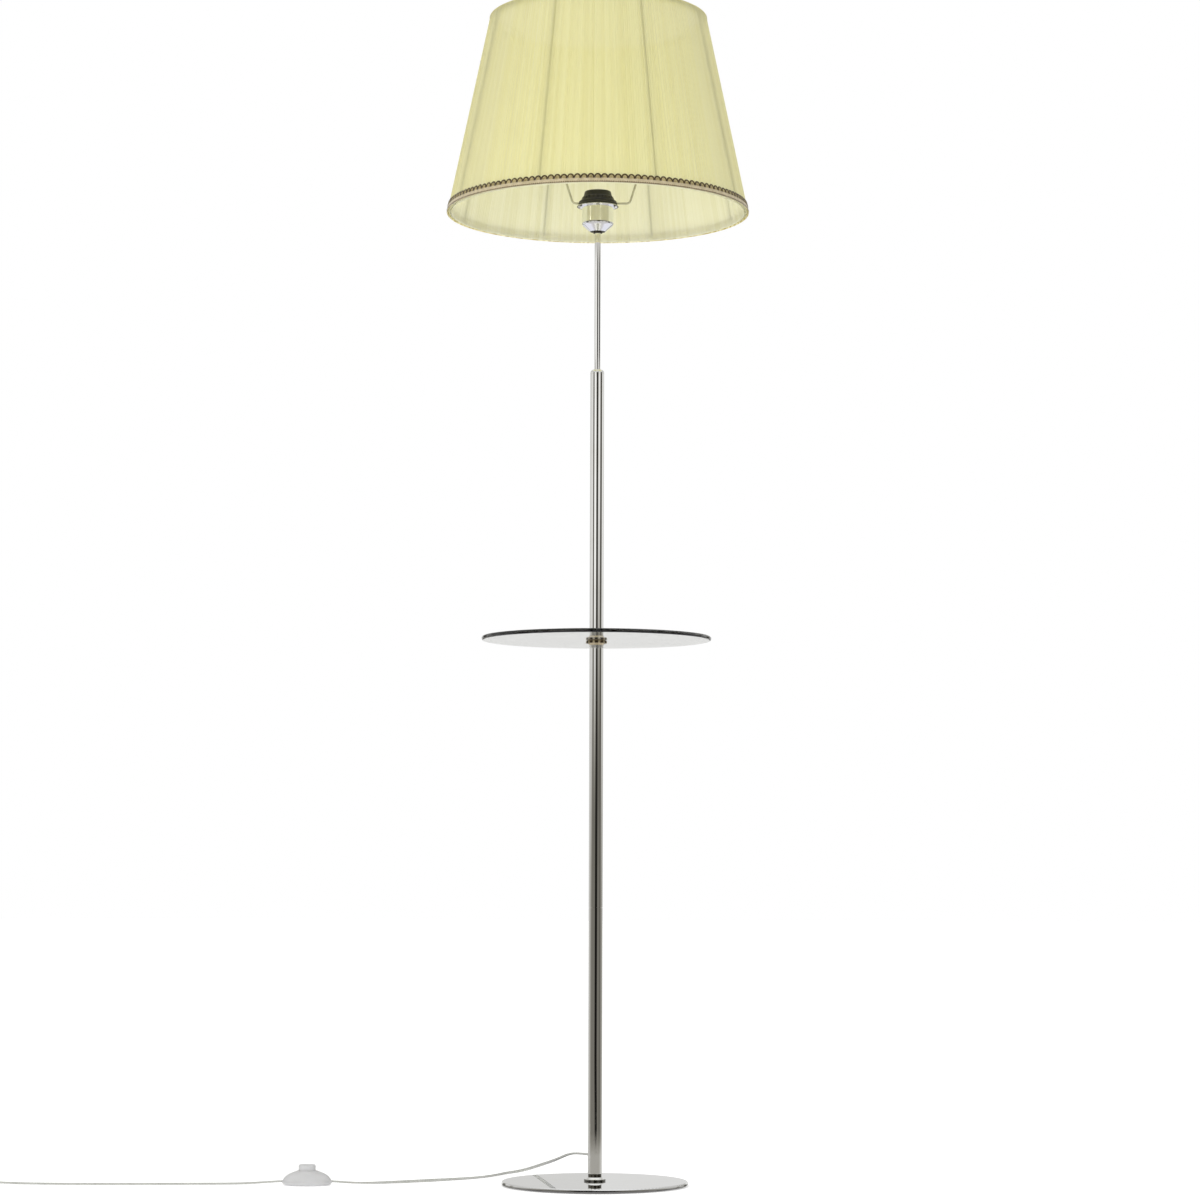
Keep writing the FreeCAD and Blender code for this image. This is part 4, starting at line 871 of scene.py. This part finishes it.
def studio_world():
    """A white studio. What shines sees softboxes, dark gaps between them and a dim room beyond."""
    s = Shader("studio", world=True)
    way = s.node("SeparateXYZ", {0: s.node("TexCoord").outputs["Generated"]})
    x, y, z = way.outputs
    # Degrees round from the camera, negative to its left, and degrees up
    in_degrees = 57.2958
    turn = s.math("MULTIPLY", s.math("ARCTAN2", x, s.math("MULTIPLY", y, -1.0)), in_degrees)
    rise = s.math("MULTIPLY", s.math("ARCSINE", z), in_degrees)
    front = s.math("ABSOLUTE", turn)
    to_left = s.math("MULTIPLY", turn, -1.0)

    def away(middle, wrap=180.0):
        return s.math("ABSOLUTE", s.math("WRAP", s.math("SUBTRACT", turn, middle), wrap, -wrap))

    def apart(value, middle):
        return s.math("ABSOLUTE", s.math("SUBTRACT", value, middle))

    def strip(middle, half, soft):
        return s.ease(away(middle), half - soft, half + soft, 1.0, 0.0)

    def added(value, more, share):
        return s.math("ADD", value, s.math("MULTIPLY", more, share))

    def blend(share, a, b):
        rest = s.math("MULTIPLY", s.math("SUBTRACT", 1.0, share), a)
        return s.math("ADD", rest, s.math("MULTIPLY", share, b))

    # Below the camera: the dim room over the edge of the paper, then the paper, then what lies under the rim
    room = s.math("ADD", s.ease(to_left, 60.0, 165.0, 0.19, 0.92), s.ease(turn, 76.0, 170.0, 0.0, 0.47))
    wedge_half = s.ease(rise, -4.7, -4.25, -4.0, 19.0)
    wedge_middle = s.ease(rise, -4.1, -3.0, 13.0, 6.0)
    wedge = s.ease(s.math("SUBTRACT", away(wedge_middle), wedge_half), -4.0, 4.0, 1.0, 0.0)
    room = added(room, wedge, -0.18)
    room = blend(s.ease(front, 150.0, 178.0), room, 0.78)
    room = added(room, strip(74.0, 9.0, 8.0), -0.08)
    paper = s.ease(front, 60.0, 150.0, 0.40, 0.74)
    under = s.ease(front, 18.0, 40.0, 0.005, 0.2)
    under = s.math("ADD", under, s.ease(front, 50.0, 110.0, 0.0, 0.3))
    low = blend(s.ease(rise, -4.3, -4.7), room, blend(s.ease(rise, -5.08, -5.18), paper, under))
    high = s.math("ADD", s.ease(to_left, 62.0, 74.0, 0.085, 0.82), s.ease(turn, 86.0, 98.0, 0.0, 0.80))
    high = added(high, strip(-106.0, 8.0, 8.0), -0.12)
    high = s.math("ADD", high, s.ease(front, 160.0, 174.0, 0.0, -0.16))
    high = added(high, strip(6.0, 13.0, 6.0), -0.05)
    # What the thin stem mirrors, higher up: wider dark lines, and no gap on the left
    higher = s.ease(rise, 8.9, 9.3)
    spread = s.math("MULTIPLY", higher, 6.0)
    high = added(high, s.math("MULTIPLY", strip(-62.0, 12.0, 5.0), higher), 0.5)
    high = added(high, s.math("MULTIPLY", strip(100.0, 14.0, 6.0), higher), -0.7)
    # The two softboxes
    left_box = s.math("MULTIPLY", strip(s.math("SUBTRACT", -28.0, spread), 17.0, 4.0),
                      s.ease(rise, 0.8, 6.0, 0.0, 0.90))
    right_box = s.math("MULTIPLY", strip(s.math("ADD", 39.0, spread), 17.0, 5.0),
                       s.ease(rise, 1.5, 7.5, 0.0, 0.78))
    path = s.node("LightPath").outputs
    # Lamps bright enough to show through the two cloths, in the polished cup
    through_cloth = s.ease(path["Transparent Depth"], 1.4, 1.6)
    lamps = s.math("MULTIPLY", s.math("ADD", strip(-57.0, 5.0, 3.0), strip(19.0, 4.0, 3.0)), 16.0)
    boxes = blend(through_cloth, s.math("ADD", left_box, right_box), lamps)
    level = s.math("ADD", blend(s.ease(rise, -1.0, 6.0), low, high), boxes)
    # Dark uprights behind the lamp and, further down, all round it, so that the chrome reads from any side
    uprights = s.math("ADD", s.ease(apart(front, 152.0), 4.0, 9.0, 1.0, 0.0),
                      s.ease(apart(front, 126.0), 2.0, 6.0, 0.45, 0.0))
    level = blend(s.math("MULTIPLY", uprights, 0.85), level, 0.06)
    quarter = away(6.0, 45.0)
    posts = s.math("ADD", s.ease(quarter, 9.0, 15.0, 0.08, 0.80),
                   s.ease(apart(quarter, 30.0), 3.0, 7.0, -0.42, 0.0))
    level = blend(s.ease(rise, -9.5, -6.5, 1.0, 0.0), level, posts)
    level = blend(s.ease(rise, 10.7, 11.2), level, blend(through_cloth, 0.6, level))
    level = blend(s.ease(rise, 25.0, 60.0), level, 0.9)
    colour = s.mix(s.ease(level, 0.0, 0.8), (0.98, 0.93, 0.80, 1), (1.0, 1.0, 0.985, 1))
    # Straight down lies the lit paper, a little lilac
    below = s.ease(rise, -32.0, -25.0, 1.0, 0.0)
    level = blend(below, level, 0.84)
    colour = s.mix(below, colour, (0.97, 0.95, 1.0, 1))
    mirrored = s.node("Background", {"Color": colour, "Strength": level})
    # What lights matt surfaces, what shows through the cloth and the glass, and what the camera sees
    around = s.math("ADD", s.ease(rise, -30.0, 50.0, 0.61, 0.675), s.ease(front, 20.0, 85.0, 0.0, 0.15))
    dome = s.node("Background", {"Color": (1, 1, 0.99, 1), "Strength": around})
    behind = s.ease(front, 60.0, 120.0, 0.5, 0.85)
    beyond = s.node("Background", {"Color": (1, 1, 0.985, 1), "Strength": behind})
    white = s.node("Background", {"Color": (1, 1, 1, 1), "Strength": 1.0})
    not_mirrored = s.math("LESS_THAN", path["Glossy Depth"], 0.5)
    seen_through = s.math("MULTIPLY", path["Is Transmission Ray"], not_mirrored)
    shining = s.node("MixShader", {0: seen_through, 1: mirrored, 2: beyond})
    soft = s.node("MixShader", {0: path["Is Diffuse Ray"], 1: shining, 2: dome})
    return s.finish(s.node("MixShader", {0: path["Is Camera Ray"], 1: soft, 2: white}))


scene.world = studio_world()


def floor_material():
    """White paper, lifted a little so that it runs into the white behind."""
    s = Shader("studio_floor")
    where = s.object_place()
    broad = s.noise(where, 3.0, 2.0, 0.5)
    colour = s.mix(broad, (0.9, 0.9, 0.9, 1), (0.93, 0.93, 0.925, 1))
    matt = s.node("BsdfDiffuse", {"Color": colour})
    lift = s.node("Emission", {"Color": (1, 1, 1, 1), "Strength": 0.42})
    return s.finish(s.node("AddShader", {0: matt, 1: lift}))


floor_reach, floor_z = 3e4, -0.3
corners = [(x * floor_reach, y * floor_reach, floor_z) for x, y in ((-1, -1), (1, -1), (1, 1), (-1, 1))]
floor = mesh_piece("studio_floor", corners, [(0, 1, 2, 3)], [floor_material()])
floor.visible_glossy = False


def softbox(name, where, aim, size, power):
    """A soft light that neither shows in the chrome nor through the cloth."""
    light = bpy.data.lights.new(name, "AREA")
    light.shape = "RECTANGLE"
    light.size, light.size_y = size
    light.energy = power
    obj = place(light, name)
    obj.location = where
    obj.rotation_euler = (Vector(aim) - Vector(where)).to_track_quat("-Z", "Y").to_euler()
    obj.visible_glossy = False
    obj.visible_transmission = False
    return obj


softbox("key_left", (-2.2, -2.4, 2.6), (0, 0, 1.1), (1.6, 1.6), 1.6)
softbox("key_right", (2.2, -2.2, 2.4), (0, 0, 1.0), (1.6, 1.6), 1.3)
softbox("back_light", (0.4, 2.8, 2.3), (0, 0, 1.3), (2.4, 1.8), 3.0)
softbox("low_light", (-0.9, -1.9, 1.1), (-0.37, 0, 0), (0.8, 0.8), 12.5)

# The camera stands in front of the lamp, a little below the glass, and looks slightly up
camera_data = bpy.data.cameras.new("camera")
camera_data.lens = 98.58
camera_data.sensor_width = 36.0
camera_data.clip_end = 200.0
camera = place(camera_data, "camera")
camera_at = (0.00447, -4.2827, 0.3879)
pitch = math.radians(90 + 4.927)
roll = math.radians(0.175)
turned = Matrix.Rotation(pitch, 4, "X") @ Matrix.Rotation(roll, 4, "Z")
camera.matrix_world = Matrix.Translation(camera_at) @ turned
scene.camera = camera
scene.view_settings.view_transform = "Standard"
scene.cycles.max_bounces = 14
scene.cycles.transparent_max_bounces = 24
